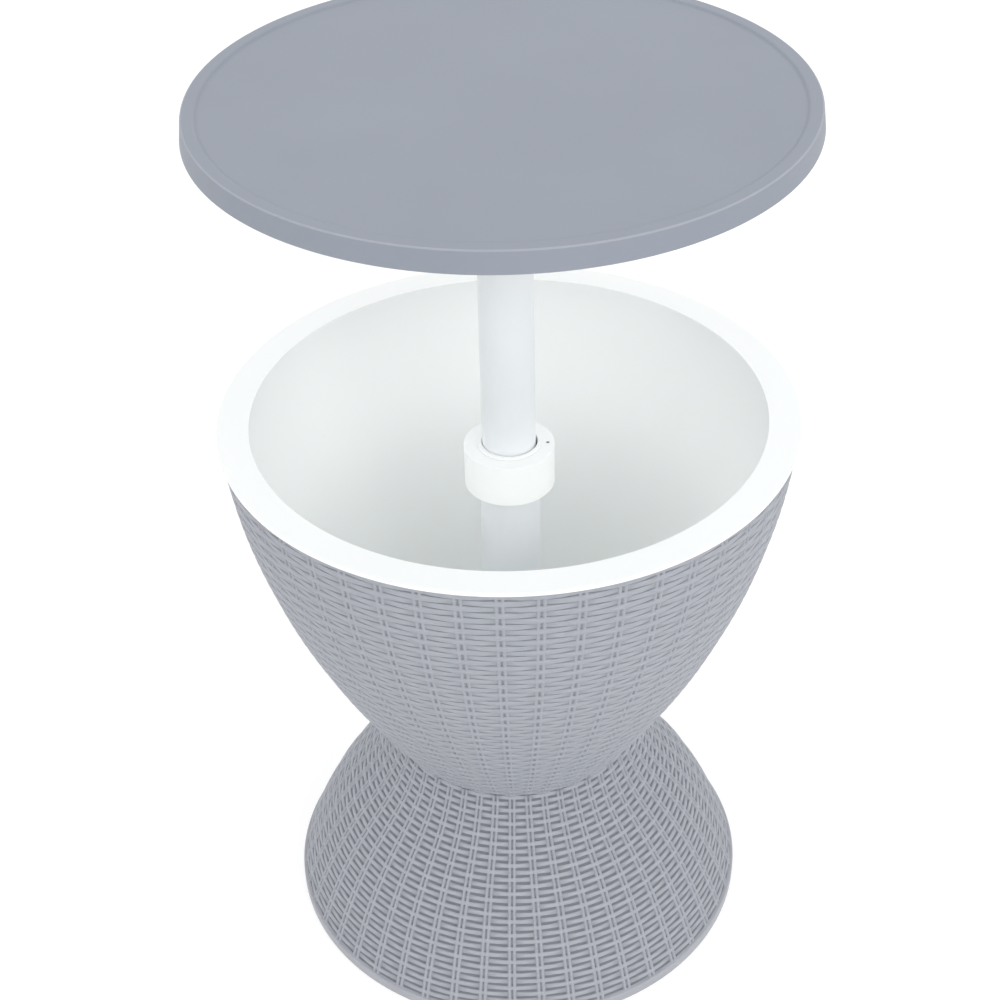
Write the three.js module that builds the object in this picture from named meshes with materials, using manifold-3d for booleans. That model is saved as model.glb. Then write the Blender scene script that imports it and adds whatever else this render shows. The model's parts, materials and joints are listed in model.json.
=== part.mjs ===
// Ice bucket coffee table: a round tabletop on a pole that slides down into a column,
// standing in the middle of a woven-look ice bucket on a flared woven-look base.
// Millimetres, +Z up. The origin is on the floor, on the vertical axis of the table.
// The table is drawn raised and locked.

import * as THREE from 'three';
import { mergeVertices } from 'three/addons/utils/BufferGeometryUtils.js';
import Module from 'manifold-3d';

const wasm = await Module();
wasm.setup();

// Driving sizes of the whole table
const rimHeight = 548;
const rimRadius = 252;
const rimWidth = 27.7;
const waistHeight = 193;
const waistRadius = 116.5;
const baseRadius = 221.5;
const liftTravel = 274;
const tabletopRadius = 247.5;
const tabletopDepth = 18;

// Clearances
const seatGap = 0.3;
const slideGap = 0.6;
const landingGap = 1;
const overrun = 2;

// Walls of the mouldings
const shellWall = 3.5;
const linerWall = 3;
const edgeRounding = 1.2;
const roundCornerShare = 1 - Math.SQRT1_2;

// Woven-look bucket shell: the outline bends once between the waist and the rim
const shellTopInset = 1.6;
const bellyOutShare = 0.893;
const bellyUpShare = 0.517;
const plainLipHeight = 5.4;

// Woven-look base: the side draws in to a shoulder and then to the upright neck of the waist
const baseBandHeight = 10;
const baseBandInset = 1.6;
const baseShoulderOutShare = 0.563;
const baseShoulderUpShare = 0.668;
const baseNeckOutShare = 0.2;
const baseNeckUpShare = 0.62;
const baseFootWidth = 14;

// Woven look of both shells: upright slits, each between the two rods of a pair
const stakeCount = 48;
const stakeStartShare = -0.313;
const stakeSlitWidth = 3;
const stakeSlitDepth = 1.9;

// White liner
const linerFloorHeight = 222;
const linerFloorRadius = 100;
const linerCornerRun = 8;
const linerCornerRise = 6;
const linerBellyOutShare = 0.9;
const linerBellyUpShare = 0.5;

// Screws that hold the bucket shell on the base
const waistScrewCount = 6;
const waistScrewCircle = 98;
const waistBossRadius = 6;
const waistBossHeight = 11;

// Small screws, alike for the waist, the tabletop and the hub
const screwShank = 1.6;
const screwHead = 4.4;
const screwHeadHeight = 2.1;
const screwTipGap = 1.6;
const headFaceShare = 0.75;

// Column and its fittings
const poleRadius = 23.5;
const poleWall = 1.6;
const boreGap = 1;
const columnWall = 2.3;
const columnFlangeWidth = 15;
const columnFlangeHeight = 4;
const sealHeight = 1.7;
const columnNutHeight = 11;
const columnNutWidth = 11;
const capFlangeHeight = 3.7;
const capPlugDepth = 9;
const passageGap = 2.2;

// Locking collar
const collarDrop = 33;
const collarHeight = 39.5;
const collarRadius = 40;
const collarSkirtWall = 3.6;
const collarSleeveWall = 3.2;
const collarPlate = 9;
const collarRounding = 2;
const bushLipWidth = 3.9;
const bushLipHeight = 2.2;
const bushWall = 1.6;
const collarPinRadius = 1.3;

// Pole end and twist lock
const poleEngagement = 63;
const plugDepth = 24;
const plugFlangeHeight = 4;
const lockShaftRadius = 9;
const lockRingHeight = 24.5;
const lockRingWall = 8;
const lockSlit = 3;
const camRadius = 13;
const camThrow = 1.5;
const camEndGap = 3;
const washerRadius = 21;
const washerHeight = 1.5;
const lockScrewShank = 2.7;
const lockScrewHead = 5.5;
const lockScrewHeadHeight = 4;
const lockScrewLength = 15;
const rivetRadius = 2;
const rivetLength = 6;
const endGap = 6;

// Tabletop
const topWall = 3;
const topBeadWidth = 12;
const topBeadHeight = 2;
const topEdgeRounding = 2;
const skirtFlare = 2.3;
const undersideRecess = 3;
const undersideWall = 3;
const ribWall = 2.4;
const ribCount = 12;
const ribRingRadius = 130;
const rimScrewCount = 8;
const rimScrewInset = 22;
const topBossRadius = 5.5;

// Hub between the pole and the tabletop
const hubGap = 6;
const hubWall = 5;
const hubFlangeWidth = 22;
const hubFlangeHeight = 4;
const hubCapHeight = 3;
const hubScrewCount = 4;
const setScrewRadius = 3;
const setScrewRise = 8;

// Drain in the bucket floor
const drainReach = 70;
const drainBore = 8;
const drainWall = 3.7;
const drainFlangeWidth = 6.3;
const drainFlangeHeight = 2.5;
const drainTail = 8;
const drainNutWidth = 5.5;
const drainNutHeight = 8.5;
const drainSealWidthShare = 0.8;
const plugSeatDepth = 5;
const plugStemDepth = 16;
const plugHeadHeight = 3;
const plugGripWidth = 12;
const plugGripWall = 3;
const plugGripHeight = 9;
const plugRingRadius = 1.3;
const plugTipShare = 0.75;

// How finely round shapes are divided
const wideSteps = 40;
const tubeSteps = 24;
const smallSteps = 8;
const outlineSteps = 6;
const quarterTurn = Math.PI / 2;
const fullTurn = Math.PI * 2;

// Places worked out from the driving sizes
const columnBore = poleRadius + boreGap;
const columnRadius = columnBore + columnWall;
const columnHole = columnRadius + seatGap;
const passageHole = columnRadius + passageGap;
const rimInnerRadius = rimRadius - rimWidth;
const shellRimRadius = rimRadius - shellTopInset;
const shellTop = rimHeight - linerWall - seatGap;
const tableHeight = rimHeight + landingGap + liftTravel + tabletopDepth;
const skirtBottom = tableHeight - tabletopDepth;
const undersideBottom = skirtBottom + undersideRecess;
const undersideTop = undersideBottom + undersideWall;
const topFloor = tableHeight - topBeadHeight;
const topCeiling = topFloor - topWall;
const skirtInnerRadius = tabletopRadius + skirtFlare - topWall;
const lipTop = rimHeight - collarDrop;
const collarTop = lipTop - bushLipHeight - seatGap;
const collarBottom = collarTop - collarHeight;
const columnTop = collarTop - collarPlate - seatGap;
const bushBore = poleRadius + slideGap;
const bushOuter = bushBore + bushWall;
const poleBottom = lipTop - poleEngagement;
const plugFlangeTop = poleBottom - seatGap;
const plugFlangeBottom = plugFlangeTop - plugFlangeHeight;
const lockRingTop = plugFlangeBottom - seatGap;
const lockRingBottom = lockRingTop - lockRingHeight;
const washerTop = lockRingBottom - seatGap;
const washerBottom = washerTop - washerHeight;
const lockScrewTop = washerBottom - seatGap;
const lockScrewBottom = lockScrewTop - lockScrewHeadHeight;
const capPlugTop = lockScrewBottom - liftTravel - endGap;
const columnBottom = capPlugTop - capPlugDepth;
const linerFloorBottom = linerFloorHeight - linerWall;
const columnSealBottom = linerFloorHeight + seatGap;
const columnFlangeBottom = columnSealBottom + sealHeight + seatGap;
const columnFlangeRadius = columnRadius + columnFlangeWidth;
const shellFloorBottom = waistHeight + seatGap / 2;
const shellFloorTop = shellFloorBottom + shellWall;
const basePlateTop = waistHeight - seatGap / 2;
const basePlateBottom = basePlateTop - shellWall;
const hubBottom = lipTop + liftTravel + hubGap;
const hubTop = undersideBottom - seatGap;
const hubFlangeBottom = hubTop - hubFlangeHeight;
const hubBore = poleRadius + seatGap;
const hubRadius = hubBore + hubWall;
const hubFlangeRadius = hubRadius + hubFlangeWidth;
const poleTop = hubTop - hubCapHeight - seatGap;
const hubScrewCircle = (hubRadius + hubFlangeRadius) / 2;
const rimScrewCircle = tabletopRadius - rimScrewInset;
const drainRadius = drainBore + drainWall;
const drainFlangeRadius = drainRadius + drainFlangeWidth;
const drainFlangeBottom = linerFloorHeight + seatGap;
const drainFlangeTop = drainFlangeBottom + drainFlangeHeight;
const drainBottom = basePlateBottom - drainTail;
const drainSealTop = linerFloorBottom - seatGap;
const drainNutTop = drainSealTop - sealHeight - seatGap;
const screwHole = screwShank + seatGap;
const stakeStart = (stakeStartShare * fullTurn) / stakeCount;
const waistScrewStart = fullTurn / (waistScrewCount * 2);
const rimScrewStart = fullTurn / (rimScrewCount * 2);
const hubScrewStart = fullTurn / (hubScrewCount * 2);

// Colours, finishes
const greyWeave = new THREE.MeshStandardMaterial({ color: 0x9d9da6, roughness: 0.62, metalness: 0 });
const greyTop = new THREE.MeshStandardMaterial({ color: 0xa1a6b1, roughness: 0.55, metalness: 0 });
const whiteLiner = new THREE.MeshStandardMaterial({ color: 0xf4f6f5, roughness: 0.38, metalness: 0 });
const whiteTube = new THREE.MeshStandardMaterial({ color: 0xe6eaec, roughness: 0.3, metalness: 0 });
const greyPlastic = new THREE.MeshStandardMaterial({ color: 0x6f7378, roughness: 0.5, metalness: 0 });
const rubber = new THREE.MeshStandardMaterial({ color: 0x2e2f31, roughness: 0.85, metalness: 0 });
const steel = new THREE.MeshStandardMaterial({ color: 0xb9bcc0, roughness: 0.32, metalness: 1 });

const table = new THREE.Group();

// Joined vertices without slivers, ready to cut
function solidGeometry(geometry) {
  const plain = geometry.clone();
  plain.deleteAttribute('normal');
  plain.deleteAttribute('uv');
  const merged = mergeVertices(plain);
  const corners = Array.from(merged.index.array);
  const kept = [];
  for (let i = 0; i < corners.length; i += 3) {
    const [a, b, c] = corners.slice(i, i + 3);
    if (a !== b && b !== c && c !== a) {
      kept.push(a, b, c);
    }
  }
  merged.setIndex(kept);
  return merged;
}

function toManifold(geometry) {
  const merged = solidGeometry(geometry);
  return new wasm.Manifold(new wasm.Mesh({
    numProp: 3,
    vertProperties: new Float32Array(merged.attributes.position.array),
    triVerts: new Uint32Array(merged.index.array),
  }));
}

function fromManifold(solid) {
  const mesh = solid.getMesh();
  const geometry = new THREE.BufferGeometry();
  geometry.setAttribute('position', new THREE.BufferAttribute(mesh.vertProperties, 3));
  geometry.setIndex(new THREE.BufferAttribute(mesh.triVerts, 1));
  return geometry;
}

// The first shape with the others joined to it and the cuts taken out
function carve(base, joins, cuts) {
  let solid = toManifold(base);
  for (const join of joins) {
    solid = solid.add(toManifold(join));
  }
  for (const cut of cuts) {
    solid = solid.subtract(toManifold(cut));
  }
  return fromManifold(solid);
}

// A shape turned round the vertical axis from [radius, height] points.
// Off the axis the outline closes on itself.
function turned(outline, steps) {
  const points = outline.map(([radius, height]) => new THREE.Vector2(radius, height));
  const openEnds = points[0].x > 0 || points[points.length - 1].x > 0;
  if (openEnds) {
    points.push(points[0].clone());
  }
  if (THREE.ShapeUtils.area(points) < 0) {
    points.reverse();
  }
  const geometry = new THREE.LatheGeometry(points, steps);
  geometry.rotateX(quarterTurn);
  return solidGeometry(geometry);
}

function ring(inner, outer, bottom, top, steps) {
  return turned([[inner, bottom], [outer, bottom], [outer, top], [inner, top]], steps);
}

function disc(radius, bottom, top, steps) {
  return turned([[0, bottom], [radius, bottom], [radius, top], [0, top]], steps);
}

function moved(geometry, x, y, z) {
  return geometry.clone().translate(x, y, z);
}

// Copies of a shape set evenly round the axis, the first one turned by start
function around(geometry, count, circle, start) {
  const copies = [];
  for (let i = 0; i < count; i += 1) {
    const angle = start + (i * fullTurn) / count;
    copies.push(moved(geometry, circle * Math.cos(angle), circle * Math.sin(angle), 0));
  }
  return copies;
}

// An outline curve as [radius, height] points, set back square to itself by inset
function curveOutline(curve, inset) {
  const outline = [];
  for (let i = 0; i <= outlineSteps; i += 1) {
    const point = curve.getPoint(i / outlineSteps);
    const way = curve.getTangent(i / outlineSteps);
    outline.push([point.x - way.y * inset, point.y + way.x * inset]);
  }
  return outline;
}

function bend(from, to, outShare, upShare) {
  return new THREE.QuadraticBezierCurve(
    new THREE.Vector2(from[0], from[1]),
    new THREE.Vector2(from[0] + (to[0] - from[0]) * outShare, from[1] + (to[1] - from[1]) * upShare),
    new THREE.Vector2(to[0], to[1]),
  );
}

// Upright slits set evenly round the axis, cut a little way into an outside along its outline
function stakeSlits(outside) {
  const runs = outside.length - 1;
  const strip = new THREE.BoxGeometry(overrun, stakeSlitWidth, runs, 1, 1, runs);
  const corners = strip.attributes.position;
  for (let i = 0; i < corners.count; i += 1) {
    const [radius, height] = outside[Math.round(corners.getZ(i) + runs / 2)];
    corners.setX(i, corners.getX(i) > 0 ? radius + overrun : radius - stakeSlitDepth);
    corners.setZ(i, height);
  }
  const slits = [];
  for (let i = 0; i < stakeCount; i += 1) {
    slits.push(strip.clone().rotateZ(stakeStart + (i * fullTurn) / stakeCount));
  }
  return slits;
}

// A hexagonal nut with a round bore
function hexNut(acrossCorners, bore, bottom, height) {
  const outline = new THREE.Shape();
  for (let i = 0; i < 6; i += 1) {
    const angle = (i * fullTurn) / 6;
    const x = acrossCorners * Math.cos(angle);
    const y = acrossCorners * Math.sin(angle);
    if (i === 0) {
      outline.moveTo(x, y);
    } else {
      outline.lineTo(x, y);
    }
  }
  outline.closePath();
  const hole = new THREE.Path();
  hole.absarc(0, 0, bore, 0, fullTurn, true);
  outline.holes.push(hole);
  const solid = new THREE.ExtrudeGeometry(outline, {
    depth: height,
    bevelEnabled: false,
    curveSegments: tubeSteps,
  });
  return moved(solid, 0, 0, bottom);
}

// A pan-head screw pointing up, its head under the seat
function panScrew(seat, tip) {
  const headTop = seat - seatGap;
  return turned([
    [0, headTop - screwHeadHeight],
    [screwHead * headFaceShare, headTop - screwHeadHeight],
    [screwHead, headTop - screwHeadHeight / 2],
    [screwHead, headTop],
    [screwShank, headTop],
    [screwShank, tip - screwShank],
    [0, tip],
  ], smallSteps);
}

function add(name, geometry, material) {
  const mesh = new THREE.Mesh(geometry, material);
  mesh.name = name;
  mesh.geometry.computeVertexNormals();
  table.add(mesh);
}

function addEach(name, geometries, material) {
  geometries.forEach((geometry, i) => add(`${name}_${i + 1}`, geometry, material));
}

// Base: a hollow flared cone with a turned-in foot and a plate across its waist
function baseShell() {
  const bandTop = [baseRadius - baseBandInset, baseBandHeight];
  const out = bandTop[0] - waistRadius;
  const up = basePlateTop - baseBandHeight;
  const side = new THREE.CubicBezierCurve(
    new THREE.Vector2(...bandTop),
    new THREE.Vector2(waistRadius + out * baseShoulderOutShare, baseBandHeight + up * baseShoulderUpShare),
    new THREE.Vector2(waistRadius + out * baseNeckOutShare, baseBandHeight + up * baseNeckUpShare),
    new THREE.Vector2(waistRadius, basePlateTop),
  );
  const outside = curveOutline(side, 0);
  const inside = curveOutline(side, shellWall).reverse();
  const [footWallRadius] = inside[inside.length - 1];
  const footInner = baseRadius - baseFootWidth;
  const outline = [
    [footInner, 0],
    [baseRadius - edgeRounding, 0],
    [baseRadius, edgeRounding],
    [baseRadius, baseBandHeight - edgeRounding],
    ...outside,
    [passageHole, basePlateTop],
    [passageHole, basePlateBottom],
    [waistRadius - shellWall * 2, basePlateBottom],
    ...inside.slice(1),
    [footWallRadius, shellWall],
    [footInner, shellWall],
  ];
  const shell = turned(outline, stakeCount).rotateZ(stakeStart);
  const screwCut = disc(screwHole, basePlateBottom - overrun, basePlateTop + overrun, smallSteps);
  const drainCut = disc(drainRadius + passageGap, basePlateBottom - overrun, basePlateTop + overrun, tubeSteps);
  return carve(shell, [], [
    ...around(screwCut, waistScrewCount, waistScrewCircle, waistScrewStart),
    moved(drainCut, 0, -drainReach, 0),
    ...stakeSlits([...outside, [waistRadius, basePlateTop + overrun]]),
  ]);
}

// Bucket shell: flares up from the waist to a plain lip under the white rim
function bucketShell() {
  const lipBottom = shellTop - plainLipHeight;
  const side = bend([waistRadius, shellFloorBottom], [shellRimRadius, shellTop], bellyOutShare, bellyUpShare);
  const outside = curveOutline(side, 0).filter(([, height]) => height < lipBottom);
  const inside = curveOutline(side, shellWall).filter(([, height]) => height > shellFloorTop);
  const woven = [...outside, [shellRimRadius - edgeRounding, lipBottom]];
  const outline = [
    ...woven,
    [shellRimRadius, lipBottom + edgeRounding],
    [shellRimRadius, shellTop],
    ...inside.reverse(),
    [waistRadius - shellWall, shellFloorTop],
    [passageHole, shellFloorTop],
    [passageHole, shellFloorBottom],
  ];
  const shell = turned(outline, stakeCount).rotateZ(stakeStart);
  const bossTop = shellFloorTop + waistBossHeight;
  const boss = disc(waistBossRadius, shellFloorBottom + shellWall / 2, bossTop, smallSteps);
  const bore = disc(screwHole, shellFloorBottom - overrun, bossTop - screwTipGap / 2, smallSteps);
  const drainCut = disc(drainRadius + passageGap, shellFloorBottom - overrun, shellFloorTop + overrun, tubeSteps);
  return carve(shell, around(boss, waistScrewCount, waistScrewCircle, waistScrewStart), [
    ...around(bore, waistScrewCount, waistScrewCircle, waistScrewStart),
    moved(drainCut, 0, -drainReach, 0),
    ...stakeSlits([[waistRadius, shellFloorBottom - overrun], ...woven]),
  ]);
}

// Liner: the white inner bucket with its flat rim over the shell
function bucketLiner() {
  const corner = [linerFloorRadius + linerCornerRun, linerFloorHeight + linerCornerRise];
  const side = bend(corner, [rimInnerRadius, rimHeight - edgeRounding], linerBellyOutShare, linerBellyUpShare);
  const inside = curveOutline(side, 0);
  const rimUnder = rimHeight - linerWall;
  const outside = curveOutline(side, -linerWall).filter(([, height]) => height < rimUnder);
  const outline = [
    [columnHole, linerFloorHeight],
    [linerFloorRadius, linerFloorHeight],
    ...inside,
    [rimInnerRadius + edgeRounding, rimHeight],
    [rimRadius - edgeRounding, rimHeight],
    [rimRadius, rimHeight - edgeRounding],
    [rimRadius, rimUnder],
    [rimInnerRadius + linerWall, rimUnder],
    ...outside.reverse(),
    [linerFloorRadius + linerWall / 2, linerFloorBottom],
    [columnHole, linerFloorBottom],
  ];
  const liner = turned(outline, wideSteps);
  const drainCut = disc(drainRadius + seatGap, linerFloorBottom - overrun, linerFloorHeight + overrun, tubeSteps);
  return carve(liner, [], [moved(drainCut, 0, -drainReach, 0)]);
}

function waistScrews() {
  const tip = shellFloorTop + waistBossHeight - screwTipGap;
  const screw = panScrew(basePlateBottom, tip);
  return around(screw, waistScrewCount, waistScrewCircle, waistScrewStart);
}

// Column: a fixed white tube with a flange that stands on the bucket floor
function columnTube() {
  const flangeTop = columnFlangeBottom + columnFlangeHeight;
  return turned([
    [columnBore, columnBottom],
    [columnRadius, columnBottom],
    [columnRadius, columnFlangeBottom],
    [columnFlangeRadius, columnFlangeBottom],
    [columnFlangeRadius, flangeTop - edgeRounding],
    [columnFlangeRadius - edgeRounding, flangeTop],
    [columnRadius, flangeTop],
    [columnRadius, columnTop],
    [columnBore, columnTop],
  ], tubeSteps);
}

function columnSeal() {
  return ring(columnHole, columnFlangeRadius - edgeRounding, columnSealBottom, columnSealBottom + sealHeight, tubeSteps);
}

function columnNut() {
  const top = linerFloorBottom - seatGap;
  return hexNut(columnHole + columnNutWidth, columnHole, top - columnNutHeight, columnNutHeight);
}

function columnEndCap() {
  const flangeTop = columnBottom - seatGap;
  return turned([
    [0, flangeTop - capFlangeHeight],
    [columnRadius - edgeRounding, flangeTop - capFlangeHeight],
    [columnRadius, flangeTop - capFlangeHeight + edgeRounding],
    [columnRadius, flangeTop],
    [columnBore - seatGap, flangeTop],
    [columnBore - seatGap, capPlugTop - edgeRounding],
    [columnBore - seatGap - edgeRounding, capPlugTop],
    [0, capPlugTop],
  ], tubeSteps);
}

// Collar: a capped double ring on the top of the column, open underneath
function lockingCollar() {
  const plateBottom = collarTop - collarPlate;
  const sleeveOuter = columnHole + collarSleeveWall;
  const skirtInner = collarRadius - collarSkirtWall;
  const collarCorner = collarRounding * roundCornerShare;
  const collar = turned([
    [columnHole, collarBottom],
    [sleeveOuter, collarBottom],
    [sleeveOuter, plateBottom],
    [skirtInner, plateBottom],
    [skirtInner, collarBottom],
    [collarRadius - collarRounding, collarBottom],
    [collarRadius, collarBottom + collarRounding],
    [collarRadius, collarTop - collarRounding],
    [collarRadius - collarCorner, collarTop - collarCorner],
    [collarRadius - collarRounding, collarTop],
    [bushOuter + seatGap, collarTop],
    [bushOuter + seatGap, plateBottom],
    [columnHole, plateBottom],
  ], tubeSteps);
  const pinCut = disc(collarPinRadius + seatGap, plateBottom - overrun, collarTop + overrun, smallSteps);
  return carve(collar, [], [moved(pinCut, collarPinCircle(), 0, 0)]);
}

// The pin stands midway across the ring between the bush lip and the collar's edge
function collarPinCircle() {
  return (bushBore + bushLipWidth + collarRadius) / 2;
}

function collarPin() {
  const pin = disc(collarPinRadius, collarTop - collarPlate, collarTop - seatGap, smallSteps);
  return moved(pin, collarPinCircle(), 0, 0);
}

function collarBush() {
  const lipBottom = collarTop + seatGap;
  const lipRadius = bushBore + bushLipWidth;
  return turned([
    [bushBore, columnTop + seatGap * 2],
    [bushOuter, columnTop + seatGap * 2],
    [bushOuter, lipBottom],
    [lipRadius, lipBottom],
    [lipRadius, lipTop - edgeRounding / 2],
    [lipRadius - edgeRounding / 2, lipTop],
    [bushBore, lipTop],
  ], tubeSteps);
}

// Pole: slides in the column and carries the tabletop
function poleTube() {
  const tube = ring(poleRadius - poleWall, poleRadius, poleBottom, poleTop, tubeSteps);
  return carve(tube, [], [rivetRod(rivetRadius + seatGap, -poleRadius - overrun, poleRadius + overrun)]);
}

function rivetHeight() {
  return poleBottom + plugDepth / 2;
}

// A round bar along X through the pole at the rivets' height
function rivetRod(radius, from, to) {
  const bar = disc(radius, from, to, smallSteps);
  bar.rotateY(quarterTurn);
  return moved(bar, 0, 0, rivetHeight());
}

function plugRivets() {
  const outer = poleRadius - seatGap / 2;
  const inner = outer - rivetLength;
  return [rivetRod(rivetRadius, inner, outer), rivetRod(rivetRadius, -outer, -inner)];
}

// Plug: closes the pole's lower end; the cam below it spreads the lock ring when turned
function polePlug() {
  const plugRadius = poleRadius - poleWall - seatGap;
  const plug = turned([
    [0, lockRingBottom],
    [lockShaftRadius, lockRingBottom],
    [lockShaftRadius, plugFlangeBottom],
    [poleRadius, plugFlangeBottom],
    [poleRadius, plugFlangeTop],
    [plugRadius, plugFlangeTop],
    [plugRadius, poleBottom + plugDepth],
    [0, poleBottom + plugDepth],
  ], tubeSteps);
  const cam = moved(disc(camRadius, lockRingBottom + camEndGap, lockRingTop - camEndGap, tubeSteps), camThrow, 0, 0);
  const screwBore = disc(lockScrewShank + seatGap, lockRingBottom - overrun, lockScrewTop + lockScrewLength, smallSteps);
  const rivetEnd = poleRadius - rivetLength - seatGap * 2;
  return carve(plug, [cam], [
    screwBore,
    rivetRod(rivetRadius + seatGap, rivetEnd, poleRadius + overrun),
    rivetRod(rivetRadius + seatGap, -poleRadius - overrun, -rivetEnd),
  ]);
}

// Lock ring: a split ring that grips the column's bore; it slides but does not turn
function lockRing() {
  const outer = columnBore - seatGap;
  const inner = outer - lockRingWall;
  const halfSlit = Math.asin(lockSlit / 2 / inner);
  const outline = new THREE.Shape();
  outline.absarc(0, 0, outer, halfSlit, fullTurn - halfSlit, false);
  outline.absarc(0, 0, inner, fullTurn - halfSlit, halfSlit, true);
  outline.closePath();
  const solid = new THREE.ExtrudeGeometry(outline, {
    depth: lockRingHeight,
    bevelEnabled: false,
    curveSegments: tubeSteps,
  });
  return moved(solid, 0, 0, lockRingBottom);
}

function lockWasher() {
  return ring(lockScrewShank + seatGap, washerRadius, washerBottom, washerTop, tubeSteps);
}

function lockScrew() {
  const tip = lockScrewTop + lockScrewLength - screwTipGap;
  return turned([
    [0, lockScrewBottom],
    [lockScrewHead * headFaceShare, lockScrewBottom],
    [lockScrewHead, lockScrewBottom + lockScrewHeadHeight / 2],
    [lockScrewHead, lockScrewTop],
    [lockScrewShank, lockScrewTop],
    [lockScrewShank, tip],
    [0, tip],
  ], smallSteps);
}

// Tabletop: a dished disc with a raised bead round its edge and a short flared skirt
function tabletopTop() {
  const beadInner = tabletopRadius - topBeadWidth;
  const topCorner = topEdgeRounding * roundCornerShare;
  const top = turned([
    [0, topFloor],
    [beadInner - topBeadHeight, topFloor],
    [beadInner, tableHeight],
    [tabletopRadius - topEdgeRounding, tableHeight],
    [tabletopRadius - topCorner, tableHeight - topCorner],
    [tabletopRadius, tableHeight - topEdgeRounding],
    [tabletopRadius + skirtFlare, skirtBottom],
    [skirtInnerRadius, skirtBottom],
    [tabletopRadius - topWall, topCeiling],
    [0, topCeiling],
  ], wideSteps);
  const bossBottom = undersideTop + seatGap;
  const boss = disc(topBossRadius, bossBottom, topCeiling + topWall / 2, smallSteps);
  const bore = disc(screwHole, bossBottom - overrun, topCeiling, smallSteps);
  return carve(
    top,
    around(boss, rimScrewCount, rimScrewCircle, rimScrewStart),
    around(bore, rimScrewCount, rimScrewCircle, rimScrewStart),
  );
}

// Underside: a ribbed plate that closes the tabletop from below
function tabletopUnderside() {
  const skirtLean = skirtFlare / (topCeiling - skirtBottom);
  const plateRadius = skirtInnerRadius - skirtLean * (undersideTop - skirtBottom) - seatGap;
  const ribTop = topCeiling - seatGap;
  const ribInner = hubFlangeRadius + topBossRadius;
  const ribOuter = rimScrewCircle - topBossRadius - ribWall;
  const plate = disc(plateRadius, undersideBottom, undersideTop, wideSteps);
  const joins = [
    ring(ribOuter - ribWall, ribOuter, undersideTop - undersideWall / 2, ribTop, wideSteps),
    ring(ribRingRadius - ribWall, ribRingRadius, undersideTop - undersideWall / 2, ribTop, wideSteps),
  ];
  for (let i = 0; i < ribCount; i += 1) {
    const rib = new THREE.BoxGeometry(ribOuter - ribInner, ribWall, ribTop - undersideBottom - undersideWall / 2);
    rib.translate((ribOuter + ribInner - ribWall) / 2, 0, (ribTop + undersideBottom + undersideWall / 2) / 2);
    rib.rotateZ((i * fullTurn) / ribCount);
    joins.push(rib);
  }
  const boss = disc(topBossRadius, undersideTop - undersideWall / 2, ribTop, smallSteps);
  joins.push(...around(boss, hubScrewCount, hubScrewCircle, hubScrewStart));
  const hubBoreCut = disc(screwHole, undersideBottom - overrun, ribTop - screwTipGap / 2, smallSteps);
  const rimBoreCut = disc(screwHole, undersideBottom - overrun, undersideTop + overrun, smallSteps);
  return carve(plate, joins, [
    ...around(hubBoreCut, hubScrewCount, hubScrewCircle, hubScrewStart),
    ...around(rimBoreCut, rimScrewCount, rimScrewCircle, rimScrewStart),
  ]);
}

function tabletopScrews() {
  const screw = panScrew(undersideBottom, topCeiling - screwTipGap / 2);
  return around(screw, rimScrewCount, rimScrewCircle, rimScrewStart);
}

// Hub: a flanged socket on the pole's upper end
function poleHub() {
  const hub = turned([
    [hubBore, hubBottom],
    [hubRadius - edgeRounding, hubBottom],
    [hubRadius, hubBottom + edgeRounding],
    [hubRadius, hubFlangeBottom],
    [hubFlangeRadius - edgeRounding, hubFlangeBottom],
    [hubFlangeRadius, hubFlangeBottom + edgeRounding],
    [hubFlangeRadius, hubTop],
    [0, hubTop],
    [0, poleTop + seatGap],
    [hubBore, poleTop + seatGap],
  ], tubeSteps);
  const bore = disc(screwHole, hubFlangeBottom - overrun, hubTop + overrun, smallSteps);
  return carve(hub, [], [
    ...around(bore, hubScrewCount, hubScrewCircle, hubScrewStart),
    setScrewRod(setScrewRadius + seatGap, poleRadius, hubRadius + overrun),
  ]);
}

// A round bar along Y on the far side of the hub
function setScrewRod(radius, from, to) {
  const bar = disc(radius, from, to, smallSteps);
  bar.rotateX(-quarterTurn);
  return moved(bar, 0, 0, hubBottom + setScrewRise);
}

function hubSetScrew() {
  return setScrewRod(setScrewRadius, poleRadius + seatGap, hubRadius);
}

function hubScrews() {
  const screw = panScrew(hubFlangeBottom, topCeiling - seatGap - screwTipGap);
  return around(screw, hubScrewCount, hubScrewCircle, hubScrewStart);
}

// Drain outlet: a flanged pipe through the bucket floor and the waist
function drainOutlet() {
  const outlet = turned([
    [drainBore, drainBottom],
    [drainRadius, drainBottom],
    [drainRadius, drainFlangeBottom],
    [drainFlangeRadius, drainFlangeBottom],
    [drainFlangeRadius, drainFlangeTop - edgeRounding],
    [drainFlangeRadius - edgeRounding, drainFlangeTop],
    [drainBore + edgeRounding, drainFlangeTop],
    [drainBore, drainFlangeTop - edgeRounding],
  ], tubeSteps);
  return moved(outlet, 0, -drainReach, 0);
}

function drainSeal() {
  const outer = drainRadius + seatGap + drainNutWidth * drainSealWidthShare;
  const seal = ring(drainRadius + seatGap, outer, drainSealTop - sealHeight, drainSealTop, tubeSteps);
  return moved(seal, 0, -drainReach, 0);
}

function drainNut() {
  const bore = drainRadius + seatGap;
  const nut = hexNut(bore + drainNutWidth, bore, drainNutTop - drainNutHeight, drainNutHeight);
  return moved(nut, 0, -drainReach, 0);
}

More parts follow.
